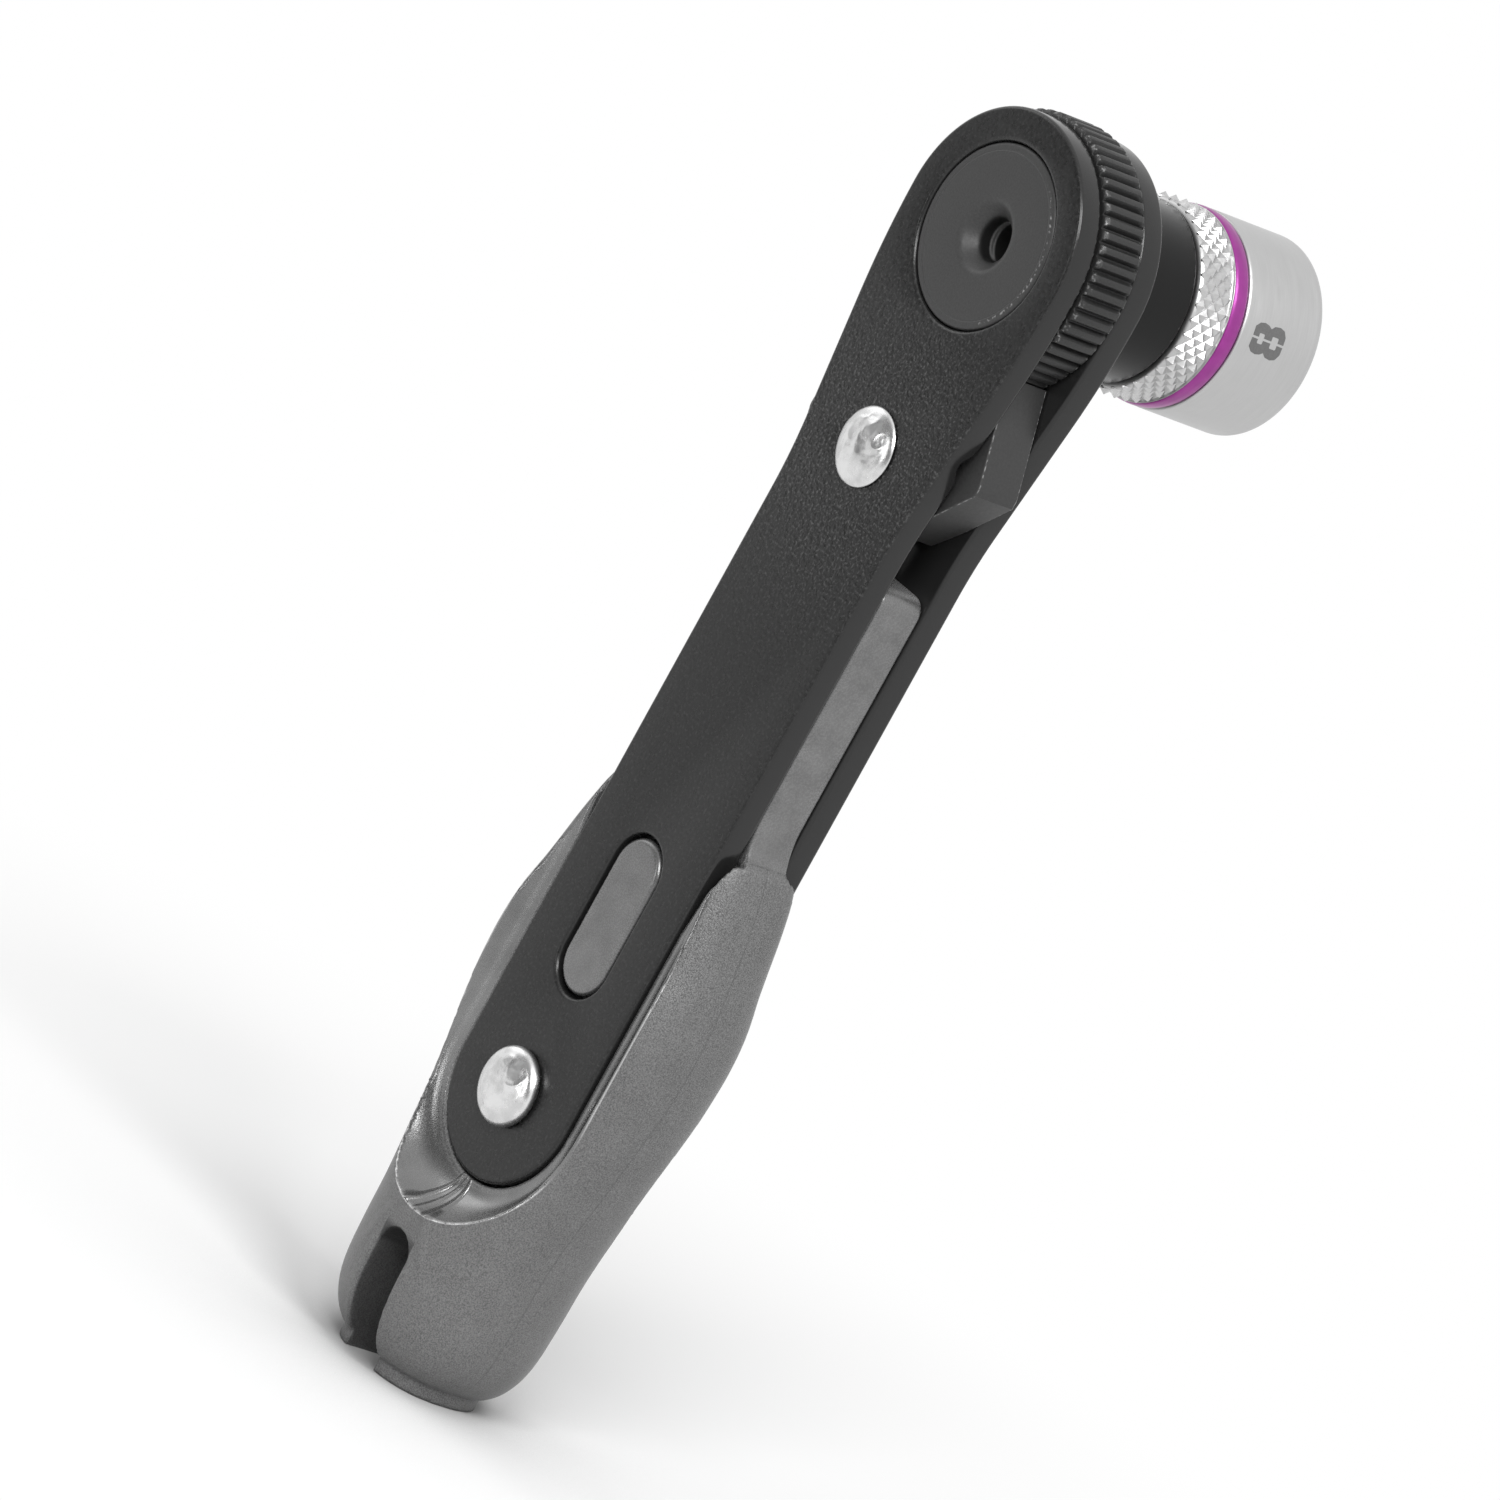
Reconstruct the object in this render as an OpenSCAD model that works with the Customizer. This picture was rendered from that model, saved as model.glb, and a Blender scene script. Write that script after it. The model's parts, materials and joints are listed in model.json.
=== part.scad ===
// Compact ratcheting screwdriver with a hex socket on its drive.
// X runs across the tool, Y along the drive axis to the socket, Z up to the head.
// The origin is on the drive axis, midway between the two side plates.

/* [Side plates] */
// Radius of the round head
head_r = 8.23; // [7:0.05:10]
// Thickness of each side plate
plate_t = 1.85; // [1.5:0.05:2.4]
// Space between the two side plates
plate_gap = 3.5; // [3:0.1:4.4]
// Width of the straight part of the plates
plate_w = 12.2; // [10.6:0.1:13]
// Radius of the long arcs that bring the head's sides in
flank_r = 52; // [40:1:70]
// Angle at which the neck narrows
neck_taper = 8.4; // [6:0.2:10]
// Radius of the hollow arcs where the neck runs into the straight part
waist_r = 33; // [20:1:40]
// Window length in the front plate, end to end
window_len = 11.2; // [9:0.1:14]
// Window width in the front plate
window_w = 4.9; // [4:0.1:6]
// Distance from the drive axis down to the middle of the window
window_drop = 48.2; // [44:0.1:50]
// Length of the relief in the front plate's inner edge beside each ear
relief_len = 5.2; // [4:0.1:6]
// Greatest depth of that relief
relief_depth = 0.85; // [0.6:0.05:1.1]
// How far that relief reaches in from the plate's side
relief_reach = 0.8; // [0.5:0.1:1.2]

/* [Rivets] */
// Distance from the drive axis down to the lever's rivet
pivot_drop = 14.92; // [14:0.05:16.5]
// Distance from the drive axis down to the handle's rivet
anchor_drop = 60.55; // [58:0.1:64]
// Shank diameter of both rivets
rivet_d = 3.2; // [2.6:0.1:3.8]
// Head diameter of both rivets
rivet_head_d = 5.2; // [4.6:0.1:6]
// Height of the straight rim on the lever rivet's heads
pawl_rim_h = 0.4; // [0.2:0.05:0.6]
// Height of the straight rim on the handle rivet's heads
handle_rim_h = 0.9; // [0.4:0.05:1.1]
// Height of the dome above the rim
rivet_dome_h = 0.45; // [0.3:0.05:0.7]
// Radial clearance of a rivet in a hole that it doesn't turn in
rivet_fit = 0.02; // [0.01:0.01:0.05]

/* [Drive gear] */
// Number of teeth on the thumb wheel
tooth_count = 60; // [60]
// Radius over the tips of the teeth
tooth_tip_r = 8.65; // [8.5:0.05:9]
// Depth of the valleys between the teeth
tooth_depth = 0.45; // [0.35:0.05:0.6]
// Chamfer on the ends of the teeth
tooth_chamfer = 0.3; // [0.1:0.05:0.4]
// Diameter of the two journals that turn in the plates
journal_d = 11.9; // [11.4:0.1:12.4]
// Radial clearance of running fits
running_fit = 0.05; // [0.02:0.01:0.08]
// Clearance on each face of what turns between the plates
side_fit = 0.05; // [0.03:0.01:0.1]
// How far the front journal sits below the front plate's face
journal_sink = 0.1; // [0.05:0.05:0.3]
// Length of the collar that stands out behind the back plate
collar_len = 5.35; // [4.5:0.05:6]
// Chamfer round the ends of the journals
journal_chamfer = 0.35; // [0.2:0.05:0.5]
// Width across flats of the hex drive
drive_af = 6.35; // [6.35]
// Clearance on each flat between the hex bore and a shank
drive_fit = 0.05; // [0.03:0.01:0.1]
// Diameter of the push-out hole at the front of the drive
push_hole_d = 2.8; // [2.2:0.1:3.2]
// Diameter of the dish round the push-out hole
push_dish_d = 4.6; // [4:0.1:5.4]
// Depth of that dish
push_dish_depth = 0.9; // [0.5:0.1:1.2]
// Distance from the plates' mid-plane to the floor of the hex bore
hex_floor_y = 0.5; // [0.4:0.1:1]
// Wire diameter of the ring that holds a bit
ring_wire_d = 0.7; // [0.5:0.05:0.8]
// Distance of that ring from the collar's end
ring_inset = 2.3; // [1.8:0.1:2.8]
// Angle that the open ring covers
ring_sweep = 300; // [280:5:320]

/* [Direction lever] */
// Angle from the middle to either working end of the lever
rock_angle = 9; // [8:0.5:10]
// Reach of each ear from the lever's pivot
ear_reach = 8.73; // [8.2:0.05:9.2]
// Distance from the pivot up to the shoulders beside the wheel
lever_rise = 7.5; // [7.2:0.05:7.8]
// Distance from the pivot down to the lever's heels
lever_fall = 4.1; // [4:0.1:5]
// Height of the ears' lower corners above the pivot
ear_low = 0.1; // [-0.4:0.05:0.4]
// Radius of the cam under the pivot
cam_r = 4; // [3.6:0.05:4.2]
// Depth of the two notches in the cam
cam_notch = 0.25; // [0.15:0.05:0.3]
// Rounding of the ears
ear_round = 0.5; // [0.3:0.05:0.7]
// First angle of each toothed nose, from straight below the wheel
nose_from = 32; // [30:1:34]
// Last angle of each toothed nose
nose_to = 45; // [43:1:47]
// Clearance between the wheel and the smooth part of the lever
wheel_relief = 0.35; // [0.3:0.05:0.5]
// Clearance between meshed teeth
mesh_fit = 0.07; // [0.05:0.01:0.1]

/* [Detent] */
// Diameter of the plunger
plunger_d = 1.7; // [1.5:0.1:1.9]
// Length of the plunger
plunger_len = 5.2; // [4.5:0.1:6]
// Gap that lets the cam pass over the plunger
cam_gap = 0.3; // [0.3:0.05:0.4]
// Wire diameter of the detent spring
spring_wire_d = 0.3; // [0.25:0.05:0.35]
// Turns of the detent spring
spring_turns = 8; // [6:1:8]
// Rise of each turn of the spring
spring_pitch = 0.78; // [0.76:0.01:0.9]

/* [Socket] */
// Width across flats of the socket's mouth
socket_af = 8; // [8]
// Clearance on each flat of the mouth
socket_fit = 0.05; // [0.03:0.01:0.1]
// Outer diameter of the socket
socket_d = 13; // [12.4:0.1:13.6]
// Length of the socket outside the drive
socket_len = 10.8; // [9.5:0.1:12]
// Length of the gripping zone next to the collar
grip_len = 2.8; // [2.4:0.1:3.2]
// Width of the coloured ring
band_w = 1.2; // [1:0.1:1.5]
// Depth of the groove that the coloured ring lies in
band_depth = 0.45; // [0.3:0.05:0.6]
// Depth of the hex mouth
mouth_depth = 6.8; // [5.5:0.1:7]
// Rounding chamfer on the mouth's outer edge
mouth_chamfer = 0.6; // [0.3:0.05:0.7]
// Chamfer at the near end of the gripping zone
grip_chamfer = 0.3; // [0.2:0.05:0.4]
// Gap between the socket and the collar's end
socket_gap = 0.05; // [0.02:0.01:0.1]

/* [Handle] */
// Distance from the handle's rivet down to the handle's end pad
end_reach = 19.55; // [18.5:0.05:21]
// Distance from the drive axis down to the tongue's top
tongue_drop = 21.5; // [21:0.1:22.5]
// Rounding of the tongue's top corners
tongue_round = 1.2; // [0.8:0.1:1.6]
// How far the tongue's sides stay inside the plates' sides
tongue_inset = 0.15; // [0.1:0.05:0.3]
// Distance from the drive axis down to the handle's shoulders
shoulder_drop = 40.3; // [39.5:0.1:41]
// Greatest width of the handle
grip_w = 19.1; // [18:0.1:21]
// Greatest depth of the handle, front to back
grip_depth = 12.5; // [11.5:0.1:13.5]
// Squareness of the handle's rounded sections, 2 being an ellipse
section_power = 2.6; // [2.2:0.1:3]
// Radius of the hollow that leads from the tongue's sides to the shoulders
tongue_hollow_r = 6; // [4:0.5:8]
// How far that hollow brings the tongue's sides out
tongue_swell = 0.68; // [0.4:0.05:0.9]
// Clearance round the plates in their pockets
pocket_fit = 0.15; // [0.1:0.05:0.25]
// How far the pockets' walls stand away from the plates at the shoulders
pocket_flare = 0.6; // [0.3:0.05:0.8]
// Length over which the pockets' walls come in to the plates
flare_len = 5.8; // [4:0.1:8]
// Radius of the dish round the plates' lower end
dish_r = 8.6; // [8.2:0.1:9]
// Rise of the dish from the plate to its rim
dish_rise = 0.85; // [0.5:0.05:1.1]
// How far the dish's inner edge lies below the plate's face
dish_sink = 0.25; // [0.1:0.05:0.4]
// Width of the lanyard slot
slot_w = 3.3; // [3:0.1:3.8]
// Distance from the handle's rivet down to the slot's round top
slot_reach = 10.85; // [10.3:0.05:11.8]
// Height of the pad on the handle's end
pad_h = 1.1; // [0.8:0.1:1.4]
// Clearance round the raised boss in the window
boss_fit = 0.25; // [0.15:0.05:0.4]
// How far the boss stays below the front plate's face
boss_sink = 0.1; // [0.05:0.05:0.3]

/* [Hidden] */
$fn = 96;

// One overrun serves all cuts
over = head_r / 8;

// The stack across the plates
gap_half = plate_gap / 2;
stack_half = gap_half + plate_t;

// The plates' neck, where the flank arc, the straight taper and the waist arc join
flank_end = [head_r - flank_r * (1 - cos(neck_taper)), -flank_r * sin(neck_taper)];
waist_top_x = plate_w / 2 + waist_r * (1 - cos(neck_taper));
waist_top_z = flank_end[1] - (flank_end[0] - waist_top_x) / tan(neck_taper);
waist_end_z = waist_top_z - waist_r * sin(neck_taper);
arc_steps = 8;
// The relief beside an ear: shares of its length, downwards, and of its depth
relief_top_share = 0.5;
relief_shares = [[0, 0], [0.29, 0.24], [0.4, 0.86], [0.5, 1], [0.58, 0.71], [0.71, 0.29], [1, 0]];

// The gear
tooth_root_r = tooth_tip_r - tooth_depth;
tooth_pitch = 360 / tooth_count;
tip_half_share = 0.24;
tip_round_share = 0.12;
wheel_half = gap_half - side_fit;
journal_r = journal_d / 2;
collar_end = stack_half + collar_len;
gear_front = journal_sink - stack_half;
hex_bore_r = (drive_af / 2 + drive_fit) / cos(30);
shank_r = drive_af / 2 / cos(30) - drive_fit;
ring_y = collar_end - ring_inset;
ring_mid_r = shank_r + drive_fit + ring_wire_d / 2;
ring_groove_r = ring_mid_r + ring_wire_d / 2 + running_fit;
ring_groove_w = ring_wire_d + 2 * running_fit;
push_hole_end = gear_front + push_dish_depth;
bore_lead = drive_fit * 8;

// The lever, drawn about its pivot, with its shares of ear_reach, lever_rise and lever_fall
lever_half = gap_half - 2 * side_fit;
shoulder_share = 0.835;
ear_lean_share = 0.3;
corner_x_share = 0.62;
corner_z_share = 0.61;
heel_x_share = 0.36;
heel_z_share = 0.86;
notch_r = plunger_d / 2 + running_fit;
ear_mid_z = ear_low + ear_round;

// The detent, in line under the lever's pivot
bore_r = plunger_d / 2 + running_fit;
plunger_tip_z = -pivot_drop - cam_r + cam_notch - cam_gap;
plunger_tail_z = plunger_tip_z - plunger_len;
spring_run = spring_turns * spring_pitch;
spring_len = spring_run + 2 * spring_wire_d;
spring_seat = running_fit;
bore_floor_z = plunger_tail_z - 2 * spring_seat - spring_len;
coil_r = bore_r - running_fit - spring_wire_d / 2;
spring_rings = 8;
spring_sides = 6;

// The socket, along the drive axis
socket_start = collar_end + socket_gap;
socket_end = socket_start + socket_len;
socket_r = socket_d / 2;
band_start = socket_start + grip_len;
band_end = band_start + band_w;
band_fit = running_fit / 2;
mouth_r = (socket_af / 2 + socket_fit) / cos(30);
shank_start = hex_floor_y + drive_fit * 2;
shank_chamfer = drive_fit * 10;

// The handle's stations: depth down the handle, half-width, half-depth and squareness, all as shares
station_shares = [
    [0.000, 0.695, 0.500, 1.9], [0.012, 0.742, 0.560, 1.9], [0.031, 0.772, 0.610, 1.7],
    [0.060, 0.812, 0.680, 1.4], [0.125, 0.885, 0.785, 1.12], [0.190, 0.940, 0.875, 1],
    [0.260, 0.988, 0.955, 1], [0.330, 1.000, 0.995, 1], [0.415, 0.975, 1.000, 1],
    [0.490, 0.925, 0.998, 1], [0.550, 0.880, 0.992, 1], [0.620, 0.825, 0.984, 1],
    [0.690, 0.768, 0.976, 1], [0.760, 0.733, 0.970, 1], [0.830, 0.722, 0.965, 1],
    [0.895, 0.708, 0.950, 1], [0.935, 0.685, 0.915, 1], [0.965, 0.640, 0.860, 1],
    [0.985, 0.590, 0.795, 1], [1.000, 0.530, 0.720, 1]
];
ring_points = 32;
handle_drop = anchor_drop + end_reach;
slot_drop = anchor_drop + slot_reach;
body_len = handle_drop - pad_h - shoulder_drop;
pad_share = 0.93;
pad_root = pad_h / 2;
slot_r = slot_w / 2;
dish_wall_share = 0.35;
tongue_half = plate_w / 2 - tongue_inset;
hollow_turn = acos(1 - tongue_swell / tongue_hollow_r);

// Draws a flat outline in X and Z, and gives it the thickness from y0 to y1
module slab(y0, y1) {
    translate([0, y1, 0]) rotate([90, 0, 0]) linear_extrude(y1 - y0) children();
}

// Turns a profile of radius and Y about the drive axis
module about_y() {
    rotate([-90, 0, 0]) rotate_extrude() children();
}

module hex_bar(r, y0, y1) {
    slab(y0, y1) rotate(30) circle(r, $fn = 6);
}

function flip(points) = [for (i = [len(points) - 1:-1:0]) [-points[i][0], points[i][1]]];

// The plate's outline: round head, flank arcs, straight taper, waist arcs, round lower end
function neck_side() = concat(
    [for (i = [0:arc_steps]) let (a = neck_taper * i / arc_steps)
        [head_r - flank_r * (1 - cos(a)), -flank_r * sin(a)]],
    [for (i = [arc_steps:-1:0]) let (a = neck_taper * i / arc_steps)
        [plate_w / 2 + waist_r * (1 - cos(a)), waist_end_z + waist_r * sin(a)]],
    [[plate_w / 2, -anchor_drop]]
);

module plate_blank(y0, y1) {
    slab(y0, y1) circle(head_r);
    slab(y0, y1) polygon(concat(neck_side(), flip(neck_side())));
    slab(y0, y1) translate([0, -anchor_drop]) circle(plate_w / 2);
}

module obround(width, length) {
    reach = (length - width) / 2;
    square([width, 2 * reach], center = true);
    for (s = [-1, 1]) translate([0, s * reach]) circle(width / 2);
}

module plate_holes(y0, y1) {
    slab(y0 - over, y1 + over) circle(journal_r + running_fit);
    for (drop = [pivot_drop, anchor_drop])
        slab(y0 - over, y1 + over) translate([0, -drop]) circle(rivet_d / 2 + rivet_fit);
}

// What is cut from the front plate's inner edge beside one ear, drawn in Y and Z
module ear_relief() {
    top = relief_top_share * relief_len - pivot_drop + ear_mid_z + ear_reach * sin(rock_angle);
    inner_x = flank_end[0] + (top - relief_len / 2 - flank_end[1]) * tan(neck_taper) - relief_reach;
    points = [for (s = relief_shares) [-gap_half - s[1] * relief_depth, top - s[0] * relief_len]];
    translate([inner_x, 0, 0]) rotate([90, 0, 90]) linear_extrude(relief_reach + over)
        polygon(concat(points, [[over - gap_half, top - relief_len], [over - gap_half, top]]));
}

module front_plate() {
    color([0.16, 0.16, 0.165])
    difference() {
        plate_blank(-stack_half, -gap_half);
        plate_holes(-stack_half, -gap_half);
        slab(-stack_half - over, over - gap_half)
            translate([0, -window_drop]) obround(window_w, window_len);
        for (side = [0, 1]) mirror([side, 0, 0]) ear_relief();
    }
}

module back_plate() {
    color([0.16, 0.16, 0.165])
    difference() {
        plate_blank(gap_half, stack_half);
        plate_holes(gap_half, stack_half);
    }
}

// A rivet closed on both plates, with a rim and a shallow dome at each end
module rivet(drop, rim_h) {
    head_r0 = rivet_head_d / 2;
    dome_r = (head_r0 * head_r0 + rivet_dome_h * rivet_dome_h) / (2 * rivet_dome_h);
    rim_y = stack_half + rim_h;
    color([0.78, 0.79, 0.8])
    translate([0, 0, -drop]) {
        slab(-stack_half, stack_half) circle(rivet_d / 2);
        for (side = [0, 1]) mirror([0, side, 0]) {
            slab(stack_half, rim_y) circle(head_r0);
            intersection() {
                slab(rim_y, rim_y + rivet_dome_h) circle(head_r0);
                translate([0, rim_y + rivet_dome_h - dome_r, 0]) sphere(dome_r);
            }
        }
    }
}

module pawl_rivet() { rivet(pivot_drop, pawl_rim_h); }

module handle_rivet() { rivet(anchor_drop, handle_rim_h); }

// The wheel's teeth, with a tooth straight below the axis
function tooth_ring(root, tip, half_share) = [
    for (i = [0:tooth_count - 1], k = [0:3]) let (
        mid = -90 + i * tooth_pitch,
        a = mid + tooth_pitch * [-0.5, -half_share, 0, half_share][k],
        r = [root, tip - tooth_depth * tip_round_share, tip, tip - tooth_depth * tip_round_share][k]
    ) [r * cos(a), r * sin(a)]
];

module gear_teeth() {
    intersection() {
        slab(-wheel_half, wheel_half) polygon(tooth_ring(tooth_root_r, tooth_tip_r, tip_half_share));
        about_y() polygon([
            [0, -wheel_half], [tooth_tip_r - tooth_chamfer, -wheel_half],
            [tooth_tip_r, tooth_chamfer - wheel_half], [tooth_tip_r, wheel_half - tooth_chamfer],
            [tooth_tip_r - tooth_chamfer, wheel_half], [0, wheel_half]
        ]);
    }
}

// One piece: front journal, toothed wheel and rear collar, with the hex bore through the rear
module drive_gear() {
    color([0.2, 0.2, 0.21])
    difference() {
        union() {
            gear_teeth();
            about_y() polygon([
                [0, gear_front], [journal_r - journal_chamfer, gear_front],
                [journal_r, gear_front + journal_chamfer], [journal_r, collar_end - journal_chamfer],
                [journal_r - journal_chamfer, collar_end], [0, collar_end]
            ]);
        }
        hex_bar(hex_bore_r, hex_floor_y, collar_end + over);
        about_y() polygon([
            [0, gear_front - over], [push_dish_d / 2 + over, gear_front - over],
            [push_dish_d / 2, gear_front], [push_hole_d / 2, push_hole_end],
            [push_hole_d / 2, hex_floor_y + over], [0, hex_floor_y + over]
        ]);
        about_y() polygon([
            [0, ring_y - ring_groove_w / 2], [ring_groove_r, ring_y - ring_groove_w / 2],
            [ring_groove_r, ring_y + ring_groove_w / 2], [0, ring_y + ring_groove_w / 2]
        ]);
        about_y() polygon([
            [0, collar_end - bore_lead], [hex_bore_r - bore_lead, collar_end - bore_lead],
            [hex_bore_r + over, collar_end + over], [0, collar_end + over]
        ]);
    }
}

// An open wire ring in the groove of the hex bore
module bit_retaining_ring() {
    color([0.7, 0.7, 0.72])
    translate([0, ring_y, 0]) rotate([-90, 0, 0]) rotate_extrude(angle = ring_sweep)
        translate([ring_mid_r, 0]) circle(ring_wire_d / 2, $fn = 32);
}

// What the wheel needs free in the lever: its meshed teeth in the noses, a smooth arc elsewhere
module wheel_mesh_cut() {
    mesh_share = tip_half_share + mesh_fit / (tooth_tip_r * 2 * PI / tooth_count);
    polygon(tooth_ring(tooth_root_r + 2 * mesh_fit, tooth_tip_r + mesh_fit, mesh_share));
}

module wheel_relief_cut() {
    relief = tooth_tip_r + wheel_relief;
    reach = relief * 2;
    difference() {
        circle(relief);
        for (side = [-1, 1]) polygon([
            [0, 0],
            [side * reach * sin(nose_from), -reach * cos(nose_from)],
            [side * reach * sin(nose_to), -reach * cos(nose_to)]
        ]);
    }
}

// The lever's right half, from the wheel down to the heel beside the cam
function lever_half_points() = [
    [0, lever_rise], [ear_reach * shoulder_share, lever_rise],
    [ear_reach, ear_mid_z + ear_round * ear_lean_share],
    [ear_reach - ear_round * ear_lean_share / 2, ear_mid_z - ear_round],
    [ear_reach * corner_x_share, -lever_fall * corner_z_share],
    [ear_reach * heel_x_share, -lever_fall],
    [ear_reach * heel_x_share * heel_z_share, -lever_fall], [0, -cam_r / 2]
];

// The lever about its pivot in its middle position
module lever_shape() {
    y0 = -lever_half;
    y1 = lever_half;
    difference() {
        union() {
            slab(y0, y1) polygon(concat(lever_half_points(), flip(lever_half_points())));
            slab(y0, y1) circle(cam_r);
            for (side = [-1, 1])
                slab(y0, y1) translate([side * (ear_reach - ear_round), ear_mid_z]) circle(ear_round, $fn = 48);
        }
        slab(y0 - over, y1 + over) circle(rivet_d / 2 + running_fit);
        for (side = [-1, 1]) {
            slab(y0 - over, y1 + over) rotate(side * rock_angle) translate([0, pivot_drop]) wheel_relief_cut();
            slab(y0 - over, y1 + over) rotate(side * rock_angle) translate([0, pivot_drop]) wheel_mesh_cut();
            slab(y0 - over, y1 + over) rotate(side * rock_angle)
                translate([0, -cam_r - notch_r + cam_notch]) circle(notch_r, $fn = 48);
        }
    }
}

// At rest the lever stands at one working end, with its right nose in the wheel
module direction_lever() {
    color([0.27, 0.27, 0.28])
    translate([0, 0, -pivot_drop]) rotate([0, -rock_angle, 0]) lever_shape();
}

module detent_plunger() {
    color([0.75, 0.76, 0.78])
    translate([0, 0, plunger_tail_z]) {
        cylinder(h = plunger_len - plunger_d / 2, d = plunger_d, $fn = 48);
        translate([0, 0, plunger_len - plunger_d / 2]) sphere(d = plunger_d, $fn = 48);
    }
}

// The detent spring is one tube: a straight end, the turns, a straight end
spring_base_z = bore_floor_z + spring_seat;
function coil_points() = concat(
    [[coil_r, 0, spring_base_z]],
    [for (i = [0:spring_turns * spring_rings]) let (a = 360 * i / spring_rings)
        [coil_r * cos(a), coil_r * sin(a), spring_base_z + spring_wire_d + spring_run * i / (spring_turns * spring_rings)]],
    [[coil_r * cos(360 * spring_turns), coil_r * sin(360 * spring_turns), spring_base_z + spring_len]]
);
function unit(v) = v / norm(v);
function tube_ring(path, i) =
    let (
        last = len(path) - 1,
        along = unit(path[min(i + 1, last)] - path[max(i - 1, 0)]),
        out = unit([path[i][0], path[i][1], 0]),
        side = cross(along, out)
    )
    [for (k = [0:spring_sides - 1]) let (a = 360 * k / spring_sides)
        path[i] + spring_wire_d / 2 * (cos(a) * out + sin(a) * side)];

module detent_spring() {
    path = coil_points();
    n = spring_sides;
    last = len(path) - 1;
    points = [for (i = [0:last]) each tube_ring(path, i)];
    sides = [for (i = [0:last - 1], k = [0:n - 1]) each [
        [i * n + k, (i + 1) * n + k, i * n + (k + 1) % n],
        [(i + 1) * n + k, (i + 1) * n + (k + 1) % n, i * n + (k + 1) % n]
    ]];
    ends = [for (k = [1:n - 2]) each [[0, k, k + 1], [last * n, last * n + k + 1, last * n + k]]];
    color([0.8, 0.8, 0.82]) polyhedron(points, concat(sides, ends));
    apart = [for (i = [1:last - 1], j = [i + spring_rings / 2:1:last - 1]) norm(path[i] - path[j])];
    echo(spring_least_gap = min(apart) - spring_wire_d);
}

// The socket: hex shank, gripping zone, groove for the ring, smooth body with a hex mouth
module socket_body() {
    groove_r = socket_r - band_depth;
    mouth_floor = socket_end - mouth_depth;
    color([0.76, 0.77, 0.78])
    difference() {
        union() {
            about_y() polygon([
                [0, socket_start], [socket_r - grip_chamfer, socket_start],
                [socket_r, socket_start + grip_chamfer], [socket_r, band_start],
                [groove_r, band_start], [groove_r, band_end], [socket_r, band_end],
                [socket_r, socket_end - mouth_chamfer], [socket_r - mouth_chamfer / 3, socket_end - mouth_chamfer / 3],
                [socket_r - mouth_chamfer, socket_end], [0, socket_end]
            ]);
            intersection() {
                hex_bar(shank_r, shank_start, socket_start + over);
                about_y() polygon([
                    [0, shank_start], [shank_r - shank_chamfer, shank_start],
                    [shank_r + over, shank_start + shank_chamfer + over], [shank_r + over, socket_start + over],
                    [0, socket_start + over]
                ]);
            }
        }
        hex_bar(mouth_r, mouth_floor, socket_end + over);
        about_y() polygon([
            [0, socket_end - mouth_chamfer], [mouth_r - mouth_chamfer, socket_end - mouth_chamfer],
            [mouth_r + over, socket_end + over], [0, socket_end + over]
        ]);
    }
}

module socket_colour_ring() {
    color([0.54, 0.16, 0.52])
    about_y() translate([socket_r - band_depth + band_fit, band_start + band_fit])
        square([band_depth - band_fit, band_w - 2 * band_fit]);
}

// One rounded section of the handle, and the skin through all of them
function section(half_w, half_d, square_share) = [
    for (k = [0:ring_points - 1])
        let (a = 360 * k / ring_points, c = cos(a), s = sin(a), p = 2 / section_power / square_share)
        [half_w * sign(c) * pow(abs(c), p), half_d * sign(s) * pow(abs(s), p)]
];

module handle_skin() {
    n = ring_points;
    last = len(station_shares) - 1;
    points = [for (st = station_shares) each [
        for (p = section(st[1] * grip_w / 2, st[2] * grip_depth / 2, st[3]))
            [p[0], p[1], -shoulder_drop - st[0] * body_len]
    ]];
    sides = [for (i = [0:last - 1], k = [0:n - 1]) each [
        [i * n + k, i * n + (k + 1) % n, (i + 1) * n + (k + 1) % n],
        [i * n + k, (i + 1) * n + (k + 1) % n, (i + 1) * n + k]
    ]];
    top = [[for (k = [n - 1:-1:0]) k]];
    bottom = [[for (k = [0:n - 1]) last * n + k]];
    polyhedron(points, concat(sides, top, bottom));
}

// The pad on the handle's end follows the last section
module end_pad() {
    shape = station_shares[len(station_shares) - 1];
    translate([0, 0, -handle_drop]) linear_extrude(pad_h + pad_root)
        polygon(section(shape[1] * pad_share * grip_w / 2, shape[2] * pad_share * grip_depth / 2, shape[3]));
}

// One side of the tongue, from its round top corner down the hollow to the shoulder
function tongue_side() = concat(
    [for (i = [0:arc_steps]) let (a = 90 * i / arc_steps)
        [tongue_half - tongue_round * (1 - sin(a)), -tongue_drop - tongue_round * (1 - cos(a))]],
    [for (i = [0:arc_steps]) let (a = hollow_turn * i / arc_steps)
        [tongue_half + tongue_hollow_r * (1 - cos(a)),
         -shoulder_drop + tongue_hollow_r * (sin(hollow_turn) - sin(a))]],
    [[tongue_half, -shoulder_drop - body_len / 2]]
);

// The tongue fills the space between the plates
module tongue() {
    slab(-gap_half, gap_half) polygon(concat(tongue_side(), flip(tongue_side())));
}

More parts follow.
